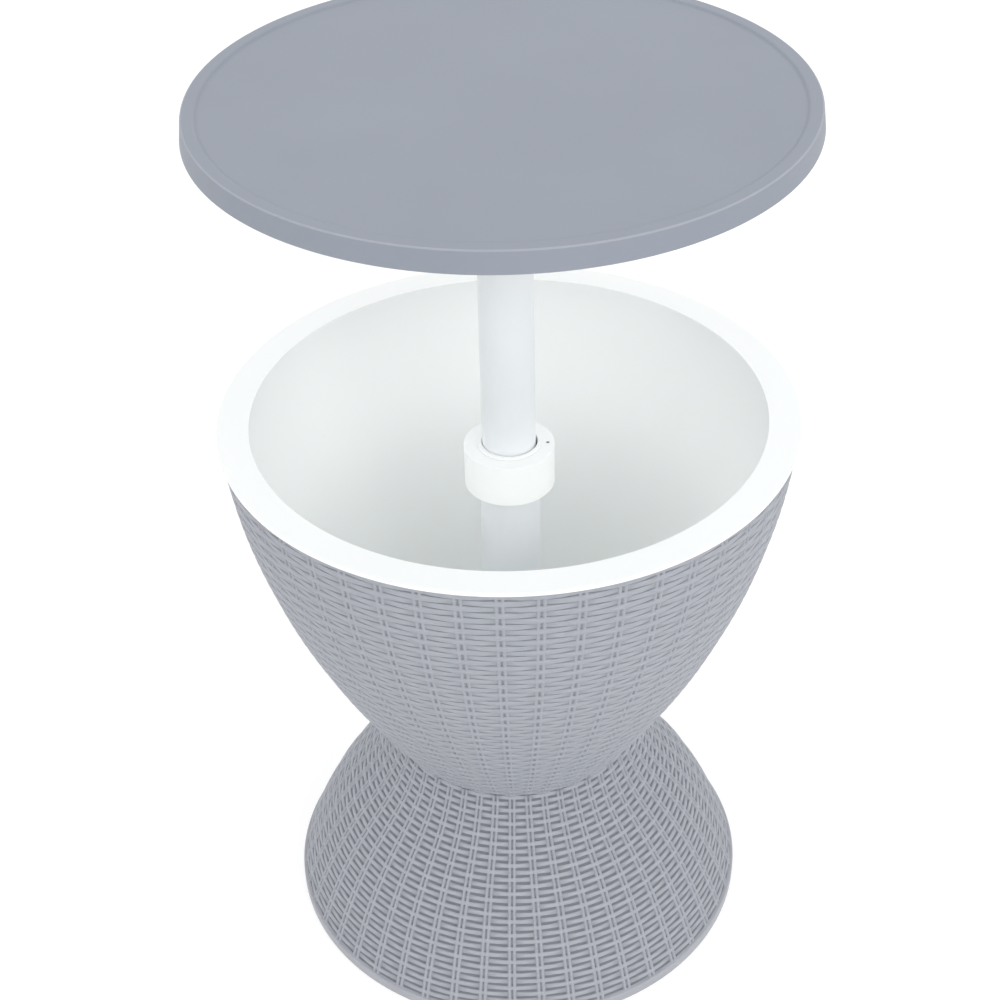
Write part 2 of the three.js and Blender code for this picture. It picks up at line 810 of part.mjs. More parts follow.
// Drain plug: pulls straight up out of the outlet by its grip
function drainPlug() {
  const headBottom = drainFlangeTop + seatGap;
  const headTop = headBottom + plugHeadHeight;
  const stemRadius = drainBore - seatGap;
  const grooveTop = drainFlangeTop - plugSeatDepth;
  const grooveBottom = grooveTop - plugRingRadius * 2 - seatGap * 2;
  const grooveRadius = stemRadius - plugRingRadius * 2;
  const plug = turned([
    [0, drainFlangeTop - plugStemDepth],
    [stemRadius * plugTipShare, drainFlangeTop - plugStemDepth],
    [stemRadius, grooveBottom - plugRingRadius],
    [stemRadius, grooveBottom],
    [grooveRadius, grooveBottom],
    [grooveRadius, grooveTop],
    [stemRadius, grooveTop],
    [stemRadius, headBottom],
    [drainRadius, headBottom],
    [drainRadius, headTop - edgeRounding],
    [drainRadius - edgeRounding, headTop],
    [0, headTop],
  ], tubeSteps);
  const grip = new THREE.BoxGeometry(plugGripWidth, plugGripWall, plugGripHeight);
  grip.translate(0, 0, headTop + plugGripHeight / 2 - edgeRounding);
  return moved(carve(plug, [grip], []), 0, -drainReach, 0);
}

function drainPlugSeal() {
  const middle = drainBore - seatGap - plugRingRadius;
  const height = drainFlangeTop - plugSeatDepth - plugRingRadius - seatGap;
  const outline = [];
  for (let i = 0; i < smallSteps; i += 1) {
    const angle = (i * fullTurn) / smallSteps;
    const radius = plugRingRadius - seatGap / 2;
    outline.push([middle + radius * Math.cos(angle), height + radius * Math.sin(angle)]);
  }
  return moved(turned(outline, tubeSteps), 0, -drainReach, 0);
}

add('base_shell', baseShell(), greyWeave);
add('bucket_shell', bucketShell(), greyWeave);
add('bucket_liner', bucketLiner(), whiteLiner);
addEach('waist_screw', waistScrews(), steel);
add('column_tube', columnTube(), whiteTube);
add('column_seal', columnSeal(), rubber);
add('column_nut', columnNut(), greyPlastic);
add('column_end_cap', columnEndCap(), greyPlastic);
add('locking_collar', lockingCollar(), whiteLiner);
add('collar_bush', collarBush(), whiteTube);
add('collar_pin', collarPin(), steel);
add('drain_outlet', drainOutlet(), whiteLiner);
add('drain_seal', drainSeal(), rubber);
add('drain_nut', drainNut(), greyPlastic);
add('drain_plug', drainPlug(), greyPlastic);
add('drain_plug_seal', drainPlugSeal(), rubber);
add('lock_ring', lockRing(), greyPlastic);
add('pole_tube', poleTube(), whiteTube);
add('pole_plug', polePlug(), greyPlastic);
addEach('plug_rivet', plugRivets(), steel);
add('lock_washer', lockWasher(), steel);
add('lock_screw', lockScrew(), steel);
add('tabletop_top', tabletopTop(), greyTop);
add('tabletop_underside', tabletopUnderside(), greyTop);
addEach('tabletop_screw', tabletopScrews(), steel);
add('pole_hub', poleHub(), greyPlastic);
addEach('hub_screw', hubScrews(), steel);
add('hub_set_screw', hubSetScrew(), steel);

export default table;
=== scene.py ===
import json
import math

import bpy
import numpy as np
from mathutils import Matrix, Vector


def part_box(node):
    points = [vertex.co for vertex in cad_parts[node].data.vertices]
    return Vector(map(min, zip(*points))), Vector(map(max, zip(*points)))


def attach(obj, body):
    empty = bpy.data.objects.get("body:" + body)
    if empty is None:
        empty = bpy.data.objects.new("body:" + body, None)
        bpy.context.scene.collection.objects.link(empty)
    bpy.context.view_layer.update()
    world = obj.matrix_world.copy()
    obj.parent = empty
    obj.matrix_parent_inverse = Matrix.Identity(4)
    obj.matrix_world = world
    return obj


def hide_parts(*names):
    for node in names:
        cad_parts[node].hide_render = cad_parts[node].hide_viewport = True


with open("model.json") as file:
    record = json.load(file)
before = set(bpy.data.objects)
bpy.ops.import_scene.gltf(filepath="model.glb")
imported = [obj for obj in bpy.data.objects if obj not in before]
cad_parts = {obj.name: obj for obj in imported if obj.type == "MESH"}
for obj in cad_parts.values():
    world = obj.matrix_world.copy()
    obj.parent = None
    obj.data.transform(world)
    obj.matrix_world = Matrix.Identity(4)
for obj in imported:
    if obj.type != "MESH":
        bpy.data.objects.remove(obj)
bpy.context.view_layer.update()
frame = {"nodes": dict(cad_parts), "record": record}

MM = 0.001


def high(node):
    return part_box(node)[1].z


def low(node):
    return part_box(node)[0].z


def reach(node):
    """Radius of a round node on the table's axis."""
    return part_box(node)[1].x


def middle(node):
    lowest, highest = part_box(node)
    return (lowest + highest) / 2


# How finely round shapes are divided
WIDE_STEPS = 192
TUBE_STEPS = 96
SMALL_STEPS = 32

# Places and sizes taken from the frame
rim_top = high("bucket_liner")
rim_radius = reach("bucket_liner")
liner_bottom = low("bucket_liner")
shell_top = high("bucket_shell")
shell_bottom = low("bucket_shell")
base_top = high("base_shell")
table_top = high("tabletop_top")
skirt_bottom = low("tabletop_top")
skirt_radius = reach("tabletop_top")
column_top = high("column_tube")
column_bottom = low("column_tube")
column_foot_radius = reach("column_tube")
pole_radius = reach("pole_tube")
drain_place = Vector((0, middle("drain_outlet").y, 0))

# Sizes that several pieces share. A solid that joins or cuts another runs past its face by the overrun.
waist_radius = 116.5 * MM
base_radius = 221.5 * MM
shell_rim_inset = 1.6 * MM
shell_rim_radius = rim_radius - shell_rim_inset
shell_wall = 3.5 * MM
liner_wall = 3 * MM
rim_width = 27.7 * MM
column_flange = 15 * MM
column_radius = column_foot_radius - column_flange
bush_lip = 2.3 * MM
drain_bore = 12 * MM
gap = 0.3 * MM
overrun = MM
fine_round = 0.4 * MM
slight_round = 0.3 * MM


# Colours and nodes

def linear(colour):
    """An sRGB hex colour as linear red, green, blue and alpha."""
    channels = []
    for start in (1, 3, 5):
        value = int(colour[start:start + 2], 16) / 255
        channels.append(value / 12.92 if value <= 0.04045 else ((value + 0.055) / 1.055) ** 2.4)
    return (*channels, 1)


def add(tree, kind, inputs=None, **settings):
    """One shader node with its settings; an input takes a value or the output that feeds it."""
    node = tree.nodes.new("ShaderNode" + kind)
    for name, value in settings.items():
        setattr(node, name, value)
    for name, value in (inputs or {}).items():
        if isinstance(value, bpy.types.NodeSocket):
            tree.links.new(value, node.inputs[name])
        else:
            node.inputs[name].default_value = value
    return node


# Sockets of a Mix node that mixes colours
MIX_A = 6
MIX_B = 7
MIX_RESULT = 2


def new_material(name):
    """An empty material and its node tree."""
    material = bpy.data.materials.new(name)
    material.use_nodes = True
    material.node_tree.nodes.clear()
    return material, material.node_tree


def moulded_weave():
    """Polypropylene moulded with a rattan relief: satin grey, a touch lilac.

    Shade is painted into the grooves between the strands, darker the deeper they lie, so the grooves read
    darker than the crowns. A drawn grain runs along the strands as on split cane, 1.4 mm wide so that it
    shows.
    """
    cloud_size = 70 * MM
    grains_per_mm = (0.1, 0.7, 1)
    grain_depth = 0.4 * MM
    material, tree = new_material("moulded_polypropylene_weave")
    place = add(tree, "TexCoord").outputs["Object"]
    cloud = add(tree, "TexNoise", {"Vector": place, "Scale": 1 / cloud_size, "Detail": 2.0}).outputs["Fac"]
    along = add(tree, "UVMap", uv_map="weave_mm").outputs["UV"]
    drawn = add(tree, "Mapping", {"Vector": along, "Scale": grains_per_mm}).outputs["Vector"]
    grain = add(tree, "TexNoise", {"Vector": drawn, "Scale": 1.0, "Detail": 3.0}).outputs["Fac"]
    streak = add(tree, "MapRange", {"Value": grain, "From Min": 0.3, "From Max": 0.7}).outputs["Result"]
    strands = add(
        tree,
        "Mix",
        {0: streak, MIX_A: linear("#9a9da5"), MIX_B: linear("#a6a9b1")},
        data_type="RGBA",
    ).outputs[MIX_RESULT]
    # Painted shade: grooves are mixed towards a dark grey according to their depth in the relief
    height = add(tree, "Attribute", attribute_name="weave_height").outputs["Fac"]
    crown = add(tree, "MapRange", {"Value": height, "From Min": 0.2, "From Max": 0.72}).outputs["Result"]
    colour = add(
        tree,
        "Mix",
        {0: crown, MIX_A: linear("#6a6c73"), MIX_B: strands},
        data_type="RGBA",
    ).outputs[MIX_RESULT]
    bump = add(tree, "Bump", {"Height": grain, "Strength": 0.3, "Distance": grain_depth}).outputs["Normal"]
    rough = add(tree, "MapRange", {"Value": cloud, "To Min": 0.46, "To Max": 0.58}).outputs["Result"]
    shader = add(
        tree,
        "BsdfPrincipled",
        {"Base Color": colour, "Roughness": rough, "IOR": 1.49, "Normal": bump},
    )
    add(tree, "OutputMaterial", {"Surface": shader.outputs[0]})
    return material


def clouded(
    name, colours, cloud_size, rough, grain_size, grain_depth, grain_strength, highlight_tone=None, **constants
):
    """A finish with a soft run between two tones, a matching run of sheen and a fine surface grain.

    Colours, roughness and grain come from the material that each finish below describes; sizes
    are real ones. Where a piece marks points with an edge attribute, a paler tone is painted there as a
    highlight.
    """
    material, tree = new_material(name)
    place = add(tree, "TexCoord").outputs["Object"]
    cloud = add(tree, "TexNoise", {"Vector": place, "Scale": 1 / cloud_size, "Detail": 3.0}).outputs["Fac"]
    tone = add(tree, "MapRange", {"Value": cloud, "From Min": 0.3, "From Max": 0.7}).outputs["Result"]
    colour = add(
        tree,
        "Mix",
        {0: tone, MIX_A: linear(colours[0]), MIX_B: linear(colours[1])},
        data_type="RGBA",
    ).outputs[MIX_RESULT]
    # Painted highlight: a paler tone where the edge attribute is set
    if highlight_tone:
        highlight_mask = add(tree, "Attribute", attribute_name="edge_highlight").outputs["Fac"]
        colour = add(
            tree,
            "Mix",
            {0: highlight_mask, MIX_A: colour, MIX_B: linear(highlight_tone)},
            data_type="RGBA",
        ).outputs[MIX_RESULT]
    sheen = add(
        tree,
        "MapRange",
        {"Value": cloud, "To Min": rough[0], "To Max": rough[1]},
    ).outputs["Result"]
    grain = add(tree, "TexNoise", {"Vector": place, "Scale": 1 / grain_size, "Detail": 1.0}).outputs["Fac"]
    bump = add(
        tree,
        "Bump",
        {"Height": grain, "Strength": grain_strength, "Distance": grain_depth},
    ).outputs["Normal"]
    shader = add(
        tree,
        "BsdfPrincipled",
        {"Base Color": colour, "Roughness": sheen, "Normal": bump, **constants},
    )
    add(tree, "OutputMaterial", {"Surface": shader.outputs[0]})
    return material


def moulded_plain():
    """The shells' polypropylene where it is smooth: an even satin grey with faint flow marks."""
    return clouded(
        "moulded_polypropylene_plain", ("#a3a5ac", "#a9abb2"), cloud_size=40 * MM, rough=(0.44, 0.54),
        grain_size=1.2 * MM, grain_depth=0.08 * MM, grain_strength=0.14, IOR=1.49,
    )


def spark_textured_top():
    """Polypropylene from a spark-eroded mould: even blue-grey with a dull sheen.

    The eroded grain is drawn at 0.8 mm so that it shows. A paler line is painted along the upper edge as a
    highlight.
    """
    return clouded(
        "spark_textured_polypropylene", ("#8a909b", "#8e949f"), cloud_size=110 * MM, rough=(0.46, 0.56),
        grain_size=0.8 * MM, grain_depth=0.08 * MM, grain_strength=0.16, highlight_tone="#9fa3ad", IOR=1.49,
    )


def white_polypropylene():
    """Polypropylene from a polished mould: clean white with a soft wide gloss and slow ripples."""
    return clouded(
        "white_polypropylene", ("#fbfdfc", "#fcfefd"), cloud_size=90 * MM, rough=(0.32, 0.4),
        grain_size=14 * MM, grain_depth=0.3 * MM, grain_strength=0.06, IOR=1.49,
    )


def powder_coat():
    """White powder coat on drawn tube: half gloss with faint orange peel 1.5 mm across."""
    return clouded(
        "white_powder_coat", ("#e9edef", "#eef1f3"), cloud_size=60 * MM, rough=(0.26, 0.34),
        grain_size=1.5 * MM, grain_depth=0.08 * MM, grain_strength=0.08, IOR=1.5,
    )


def filled_nylon():
    """Glass-filled grey nylon: dull, with the cloudy flow of short fibres."""
    return clouded(
        "glass_filled_nylon", ("#6a6e74", "#777b81"), cloud_size=6 * MM, rough=(0.45, 0.6),
        grain_size=0.5 * MM, grain_depth=0.06 * MM, grain_strength=0.2, IOR=1.53,
    )


def moulded_rubber():
    """Black moulded rubber: matt, with a slight bloom."""
    return clouded(
        "black_rubber", ("#232426", "#34363a"), cloud_size=3 * MM, rough=(0.75, 0.9),
        grain_size=0.6 * MM, grain_depth=0.05 * MM, grain_strength=0.2, IOR=1.52,
    )


def zinc_plate():
    """Zinc-plated steel: cool, softly blurred reflections with faint blotches."""
    return clouded(
        "zinc_plated_steel", ("#b4b8be", "#cdd0d4"), cloud_size=1.6 * MM, rough=(0.22, 0.38),
        grain_size=0.4 * MM, grain_depth=0.02 * MM, grain_strength=0.1, Metallic=1.0,
    )


finishes = {
    "woven_resin": moulded_weave(),
    "plain_resin": moulded_plain(),
    "tabletop_resin": spark_textured_top(),
    "liner_white": white_polypropylene(),
    "pole_white": powder_coat(),
    "fitting_grey": filled_nylon(),
    "seal_black": moulded_rubber(),
    "screw_steel": zinc_plate(),
}


# Modelling helpers

# Points nearer than this are one point, and faces turned by less than this lie in one plane
SAME_POINT = 0.01 * MM
SAME_PLANE = math.radians(0.05)


def clear_selection():
    bpy.ops.object.select_all(action="DESELECT")


def only(piece):
    """Makes one piece the selected and active one."""
    clear_selection()
    piece.select_set(True)
    bpy.context.view_layer.objects.active = piece
    return piece


def turned(name, outline, steps):
    """A shape turned round the upright axis from [radius, height] points, closed on itself."""
    clear_selection()
    bpy.ops.mesh.primitive_plane_add(size=MM)
    piece = bpy.context.object
    piece.name = name
    bpy.ops.object.mode_set(mode="EDIT")
    bpy.ops.mesh.merge(type="CENTER")
    bpy.ops.transform.translate(value=(outline[0][0], 0, outline[0][1]))
    path = list(outline)
    if path[0][0] > 0 or path[-1][0] > 0:
        path.append(path[0])
    for (r_from, z_from), (r_to, z_to) in zip(path, path[1:]):
        bpy.ops.mesh.extrude_vertices_move(
            TRANSFORM_OT_translate={"value": (r_to - r_from, 0, z_to - z_from)},
        )
    bpy.ops.mesh.select_all(action="SELECT")
    bpy.ops.mesh.spin(steps=steps, angle=math.tau, center=(0, 0, 0), axis=(0, 0, 1))
    bpy.ops.mesh.select_all(action="SELECT")
    bpy.ops.mesh.remove_doubles(threshold=SAME_POINT)
    bpy.ops.mesh.normals_make_consistent(inside=False)
    bpy.ops.object.mode_set(mode="OBJECT")
    return piece


def tube(name, inner, outer, bottom, top, steps=TUBE_STEPS):
    return turned(name, [(inner, bottom), (outer, bottom), (outer, top), (inner, top)], steps)


def disc(name, radius, bottom, top, steps=SMALL_STEPS):
    return tube(name, 0, radius, bottom, top, steps)


def apply(piece, kind, **settings):
    """Adds a modifier and applies it at once."""
    only(piece)
    modifier = piece.modifiers.new(kind.lower(), kind)
    for name, value in settings.items():
        setattr(modifier, name, value)
    bpy.ops.object.modifier_apply(modifier=modifier.name)
    return piece


def soften(piece, width, segments=3, angle=30):
    """Rounds the edges sharper than an angle in degrees."""
    apply(
        piece,
        "BEVEL",
        width=width,
        segments=segments,
        limit_method="ANGLE",
        angle_limit=math.radians(angle),
    )
    return clean(piece)


def clean(piece, flat=False):
    """Merges doubled points, drops faces of no size and, where asked, joins faces in one plane."""
    only(piece)
    bpy.ops.object.mode_set(mode="EDIT")
    bpy.ops.mesh.select_all(action="SELECT")
    bpy.ops.mesh.remove_doubles(threshold=SAME_POINT)
    bpy.ops.mesh.dissolve_degenerate(threshold=SAME_POINT)
    if flat:
        bpy.ops.mesh.dissolve_limited(angle_limit=SAME_PLANE)
    bpy.ops.object.mode_set(mode="OBJECT")
    return piece


def combine(piece, others, operation):
    """Joins other solids to a piece or cuts them out of it, and deletes them."""
    for other in others:
        apply(piece, "BOOLEAN", operation=operation, object=other, solver="EXACT")
        bpy.data.objects.remove(other)
    return clean(piece, flat=True)


def settle(piece):
    """Puts a piece's place and turn into its mesh."""
    only(piece)
    bpy.ops.object.transform_apply(location=True, rotation=True, scale=True)
    return piece


def stand_at(node, piece):
    """Moves a piece made on the axis to where its node stands."""
    piece.location = (middle(node).x, middle(node).y, 0)
    return settle(piece)


def copy_at(piece, name, place=(0, 0, 0), turn=0.0):
    """A copy with its own mesh, turned round the upright axis and then moved."""
    twin = piece.copy()
    twin.data = piece.data.copy()
    twin.name = name
    bpy.context.scene.collection.objects.link(twin)
    twin.location = place
    twin.rotation_euler = (0, 0, turn)
    return settle(twin)


def block(name, size, place, turn=0.0):
    """A block of that size, moved out to its place and turned with it round the upright axis."""
    clear_selection()
    bpy.ops.mesh.primitive_cube_add(size=1, location=place)
    piece = bpy.context.object
    piece.name = name
    piece.scale = size
    settle(piece)
    piece.rotation_euler = (0, 0, turn)
    return settle(piece)


def round_bar(radius, bottom, top, place):
    """An upright bar between two heights: a boss, or what cuts a round hole."""
    clear_selection()
    bpy.ops.mesh.primitive_cylinder_add(
        vertices=SMALL_STEPS,
        radius=radius,
        depth=top - bottom,
        location=(place.x, place.y, (bottom + top) / 2),
    )
    return bpy.context.object


def finish(piece, slot, body, *nodes, angle=35, look=None, flats=True):
    """Smooths a piece, gives it the finish of its slot or its look, lets it ride on its body and hides its
    nodes.

    A look is a finish other than the slot's own. A piece with flats keeps them evenly lit up to
    their rounded edges.
    """
    only(piece)
    bpy.ops.object.shade_smooth_by_angle(angle=math.radians(angle))
    if flats:
        apply(piece, "WEIGHTED_NORMAL", keep_sharp=True)
    piece.data.materials.clear()
    piece.data.materials.append(finishes[look or slot])
    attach(piece, body)
    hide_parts(*nodes)
    return piece


def bend(start, end, out_share, up_share, count):
    """Points along an outline that bends once, from start to end."""
    knee = (start[0] + (end[0] - start[0]) * out_share, start[1] + (end[1] - start[1]) * up_share)
    return bezier([start, knee, end], count)


def bezier(controls, count):
    """Points along a curve with two, three or four control points."""
    order = len(controls) - 1
    points = []
    for step in range(count + 1):
        t = step / count
        weights = [math.comb(order, k) * t ** k * (1 - t) ** (order - k) for k in range(order + 1)]
        points.append(tuple(sum(w * c[axis] for w, c in zip(weights, controls)) for axis in (0, 1)))
    return points


def around(count, circle, start=0.0):
    """Places evenly round the axis, each with its angle."""
    spots = []
    for index in range(count):
        angle = start + index * math.tau / count
        spots.append((Vector((circle * math.cos(angle), circle * math.sin(angle), 0)), angle))
    return spots


# Woven relief: 48 upright rod pairs with flat strands passing over one pair and under the next

STAKES = 48
STAKE_PHASE = math.radians(-2.35)
QUARTER_NAMES = ("front", "right", "back", "left")

# Bucket outline, as shares of its run from the waist to the rim
BELLY_OUT_SHARE = 0.893
BELLY_UP_SHARE = 0.517

# Base outline, as shares of its run from the waist out to the band
SHOULDER_OUT_SHARE = 0.563
SHOULDER_UP_SHARE = 0.668
NECK_OUT_SHARE = 0.2
NECK_UP_SHARE = 0.62
base_band_height = 10 * MM
base_band_inset = 1.6 * MM

# Sizes of the weave. Levels are measured from the shell's outline, inwards where negative, and shade is
# the level at which the painted shade in the grooves is darkest. A strand is narrower by its pinch where it
# passes over the rods.
BUCKET_WEAVE = {
    "period": 13.15 * MM,
    "row_shares": (-1.0, -0.86, -0.5, 0.0, 0.5, 0.86, 1.0),
    "first_strand": 10.4 * MM,
    "plain": 4.6 * MM,
    "plain_level": -0.5 * MM,
    "strand_half": 3.15 * MM,
    "strand_level": 0.0,
    "strand_rise": 2.0 * MM,
    "strand_pinch": 0.12,
    "strand_power": 5.5,
    "strand_wave": 0.72 * MM,
    "rod_width": 3.2 * MM,
    "rod_gap": 1.9 * MM,
    "rod_level": -0.35 * MM,
    "slit": -1.9 * MM,
    "floor": -3.0 * MM,
    "shade": -3.6 * MM,
}
BASE_WEAVE = {
    "period": 13.15 * MM,
    "row_shares": (-1.0, -0.86, -0.68, -0.4, 0.0, 0.4, 0.68, 0.86, 1.0),
    "first_strand": 12.4 * MM,
    "plain": 0.0,
    "plain_level": 0.0,
    "strand_half": 2.6 * MM,
    "strand_level": -0.3 * MM,
    "strand_rise": 2.2 * MM,
    "strand_pinch": 0.27,
    "strand_power": 5.0,
    "strand_wave": 0.62 * MM,
    "rod_width": 3.4 * MM,
    "rod_gap": 1.5 * MM,
    "rod_level": 0.0,
    "slit": -1.8 * MM,
    "floor": -2.4 * MM,
    "shade": -3.4 * MM,
}

# Grid columns across a rod and across the strands between two pairs, as shares of those widths
ROD_SHARES = (0.0, 0.14, 0.5, 0.86, 1.0)
PANEL_SHARES = (0.07, 0.28, 0.5, 0.72, 0.93)

# Share of its width that a rod tends to as the shell narrows
ROD_SHRINK_SHARE = 0.62

# Grid rows of the smooth inner skin, and stretches along an outline
INNER_ROWS = 14
OUTLINE_STEPS = 200


class Meridian:
    """An outline that can be asked for its radius, height and outward way at a distance along it."""

    def __init__(self, points):
        self.points = np.array(points)
        steps = np.hypot(*np.diff(self.points, axis=0).T)
        self.along = np.concatenate([[0.0], np.cumsum(steps)])
        self.length = self.along[-1]
        way = np.gradient(self.points, self.along, axis=0)
        way /= np.hypot(way[:, 0], way[:, 1])[:, None]
        outward = np.stack([way[:, 1], -way[:, 0]], axis=1)
        self.outward = outward if outward[0, 0] > 0 else -outward

    def at(self, distance, height=0.0):
        """Radius and upright place at distances along the outline, raised by height."""
        spots = [np.interp(distance, self.along, self.points[:, axis]) for axis in (0, 1)]
        lifts = [np.interp(distance, self.along, self.outward[:, axis]) * height for axis in (0, 1)]
        return spots[0] + lifts[0], spots[1] + lifts[1]


def weave_rows(weave, length):
    """Distances of the grid rows: the plain band, then the sides and crown of every strand."""
    half = weave["period"] / 2
    rows = [0.0]
    if weave["plain"] > 0:
        rows += [weave["plain"] * 0.5, weave["plain"]]
    first = math.floor(-weave["first_strand"] / half)
    last = math.ceil(length / half)
    for strand in range(first, last):
        for share in weave["row_shares"]:
            rows.append(weave["first_strand"] + strand * half + share * weave["strand_half"])
    margin = 0.15 * MM
    kept = [row for row in rows if row <= weave["plain"] or weave["plain"] + margin < row < length - margin]
    return np.array(sorted(row for row in kept if row >= 0) + [length])


def weave_columns(stakes):
    """Grid columns over some stakes, as (stake, rod side, share, kind) from slit middle to slit middle."""
    columns = []
    for stake in range(stakes):
        columns.append((stake, 1, 0.0, "slit"))
        columns += [(stake, 1, share, "rod") for share in ROD_SHARES]
        columns += [(stake, 1, share, "panel") for share in PANEL_SHARES]
        columns += [(stake + 1, -1, share, "rod") for share in reversed(ROD_SHARES)]
    columns.append((stakes, -1, 0.0, "slit"))
    return columns


def column_angles(columns, weave, radius):
    """Angle past the first stake for each grid column, where the outline has that radius."""
    pitch = math.tau / STAKES
    scale = ROD_SHRINK_SHARE + (1 - ROD_SHRINK_SHARE) * min(1.0, radius / shell_rim_radius)
    gap_angle = weave["rod_gap"] * scale / 2 / radius
    rod_angle = weave["rod_width"] * scale / radius
    edge = gap_angle + rod_angle
    angles = []
    for stake, side, share, kind in columns:
        if kind == "slit":
            angles.append(stake * pitch)
        elif kind == "rod":
            angles.append(stake * pitch + side * (gap_angle + share * rod_angle))
        else:
            angles.append(stake * pitch + edge + share * (pitch - 2 * edge))
    return np.array(angles)


def arch(share, power):
    """Height of a rounded crown from 0 at its sides to 1 in the middle."""
    return np.clip(1 - np.abs(share) ** power, 0, 1) ** (1 / power)


def weave_heights(columns, rows, weave, first_stake, angles):
    """Relief height of every grid point: the highest of groove floor, rods and strands."""
    half = weave["period"] / 2
    pitch = math.tau / STAKES
    heights = np.full((len(rows), len(columns)), weave["floor"])
    rod = np.array([
        arch(2 * share - 1, 2.0) if kind == "rod" else 0.0 for _, _, share, kind in columns
    ])
    is_rod = np.array([kind == "rod" for *_, kind in columns])
    rod_rise = weave["rod_width"] / 2
    rods = weave["rod_level"] - rod_rise * (1 - rod)
    heights[:, is_rod] = np.maximum(heights[:, is_rod], rods[is_rod])
    across = angles / pitch + first_stake
    nearest = np.round((rows - weave["first_strand"]) / half)
    wave = np.cos(math.pi * (across - nearest[:, None]))
    width = weave["strand_half"] * (1 - weave["strand_pinch"] * (wave + 1) / 2)
    offset = (rows - weave["first_strand"] - nearest * half)[:, None] / width
    crown = arch(offset, weave["strand_power"])
    strands = weave["strand_level"] + weave["strand_wave"] * (wave - 1) - weave["strand_rise"] * (1 - crown)
    heights = np.maximum(heights, strands)
    in_slit = np.array([kind == "slit" for *_, kind in columns]) & (wave < 0)
    heights[in_slit] = weave["slit"]
    heights[rows <= weave["plain"]] = weave["plain_level"]
    return np.maximum(heights, weave["floor"])


def woven_quarter(name, meridian, weave, quarter, upward):
    """A quarter of a woven wall as a closed solid: relief outside, smooth inside.

    The relief follows a formula over rods and strands, which no edit-mode operator gives, so its
    grid is placed point by point.
    """
    stakes = STAKES // 4
    columns = weave_columns(stakes)
    rows = weave_rows(weave, meridian.length)
    radii = meridian.at(rows)[0]
    angles = np.array([column_angles(columns, weave, radius) for radius in radii])
    heights = weave_heights(columns, rows, weave, quarter * stakes, angles)
    start = STAKE_PHASE - math.pi / 2 + quarter * stakes * math.tau / STAKES

    def placed(distance, height, angle):
        radius, level = meridian.at(distance, height)
        turn = start + angle
        return np.stack([radius * np.cos(turn), radius * np.sin(turn), level + 0 * turn], axis=-1)

    outer = placed(rows[:, None], heights, angles)
    inner_rows = np.linspace(0, meridian.length, INNER_ROWS)
    inner_angles = np.stack([
        np.array([np.interp(row, rows, angles[:, column]) for column in range(len(columns))])
        for row in inner_rows
    ])
    inner = placed(inner_rows[:, None], -shell_wall, inner_angles)
    wide = len(columns)
    points = np.concatenate([outer.reshape(-1, 3), inner.reshape(-1, 3)])
    first_inner = outer.shape[0] * wide

    def grid_faces(start_index, count):
        corner = (start_index + np.arange(count - 1)[:, None] * wide + np.arange(wide - 1)).reshape(-1, 1)
        return np.concatenate([corner, corner + 1, corner + wide + 1, corner + wide], axis=1)

    outer_faces = grid_faces(0, len(rows))
    inner_faces = grid_faces(first_inner, INNER_ROWS)[:, ::-1]
    low_outer = np.arange(wide)
    high_outer = (len(rows) - 1) * wide + np.arange(wide)
    low_inner = first_inner + np.arange(wide)
    high_inner = first_inner + (INNER_ROWS - 1) * wide + np.arange(wide)

    def strip(one, two):
        return np.stack([one[:-1], two[:-1], two[1:], one[1:]], axis=1)

    faces = np.concatenate([
        outer_faces,
        inner_faces,
        strip(low_outer, low_inner),
        strip(high_inner, high_outer),
    ])
    if not upward:
        faces = faces[:, ::-1]
    sides = []
    for column in (0, wide - 1):
        outer_side = [row * wide + column for row in range(len(rows))]
        inner_side = [first_inner + row * wide + column for row in range(INNER_ROWS)]
        side = outer_side + inner_side[::-1]
        sides.append(side if (column == 0) == upward else side[::-1])
    mesh = bpy.data.meshes.new(name)
    mesh.from_pydata(points.tolist(), [], faces.tolist() + sides)
    # Depth share that sets the painted shade in the grooves; the smooth inner skin gets none
    raised = np.ones(len(points), np.float32)
    raised[:first_inner] = 1 - heights.reshape(-1) / weave["shade"]
    mesh.attributes.new("weave_height", "FLOAT", "POINT").data.foreach_set("value", raised)
    spot = np.zeros((len(points), 2), np.float32)
    spot[:first_inner, 0] = (angles * radii[:, None] / MM).reshape(-1)
    spot[:first_inner, 1] = np.repeat(rows / MM, wide)
    spot[first_inner:, 0] = (inner_angles * meridian.at(inner_rows)[0][:, None] / MM).reshape(-1)
    spot[first_inner:, 1] = np.repeat(inner_rows / MM, wide)
    corners = np.empty(len(mesh.loops), np.int32)
    mesh.loops.foreach_get("vertex_index", corners)
    mesh.uv_layers.new(name="weave_mm").data.foreach_set("uv", spot[corners].reshape(-1))
    piece = bpy.data.objects.new(name, mesh)
    bpy.context.scene.collection.objects.link(piece)
    return piece


def bucket_meridian():
    """Outline of the bucket from its rim down to the waist."""
    start = (waist_radius, shell_bottom)
    end = (shell_rim_radius, shell_top)
    return Meridian(bend(start, end, BELLY_OUT_SHARE, BELLY_UP_SHARE, OUTLINE_STEPS)[::-1])


def base_meridian():
    """Outline of the base from its band up to the waist."""
    band_top = (base_radius - base_band_inset, base_band_height)
    out = band_top[0] - waist_radius
    up = base_top - base_band_height
    shoulder = (waist_radius + out * SHOULDER_OUT_SHARE, base_band_height + up * SHOULDER_UP_SHARE)
    neck = (waist_radius + out * NECK_OUT_SHARE, base_band_height + up * NECK_UP_SHARE)
    return Meridian(bezier([band_top, shoulder, neck, (waist_radius, base_top)], OUTLINE_STEPS))


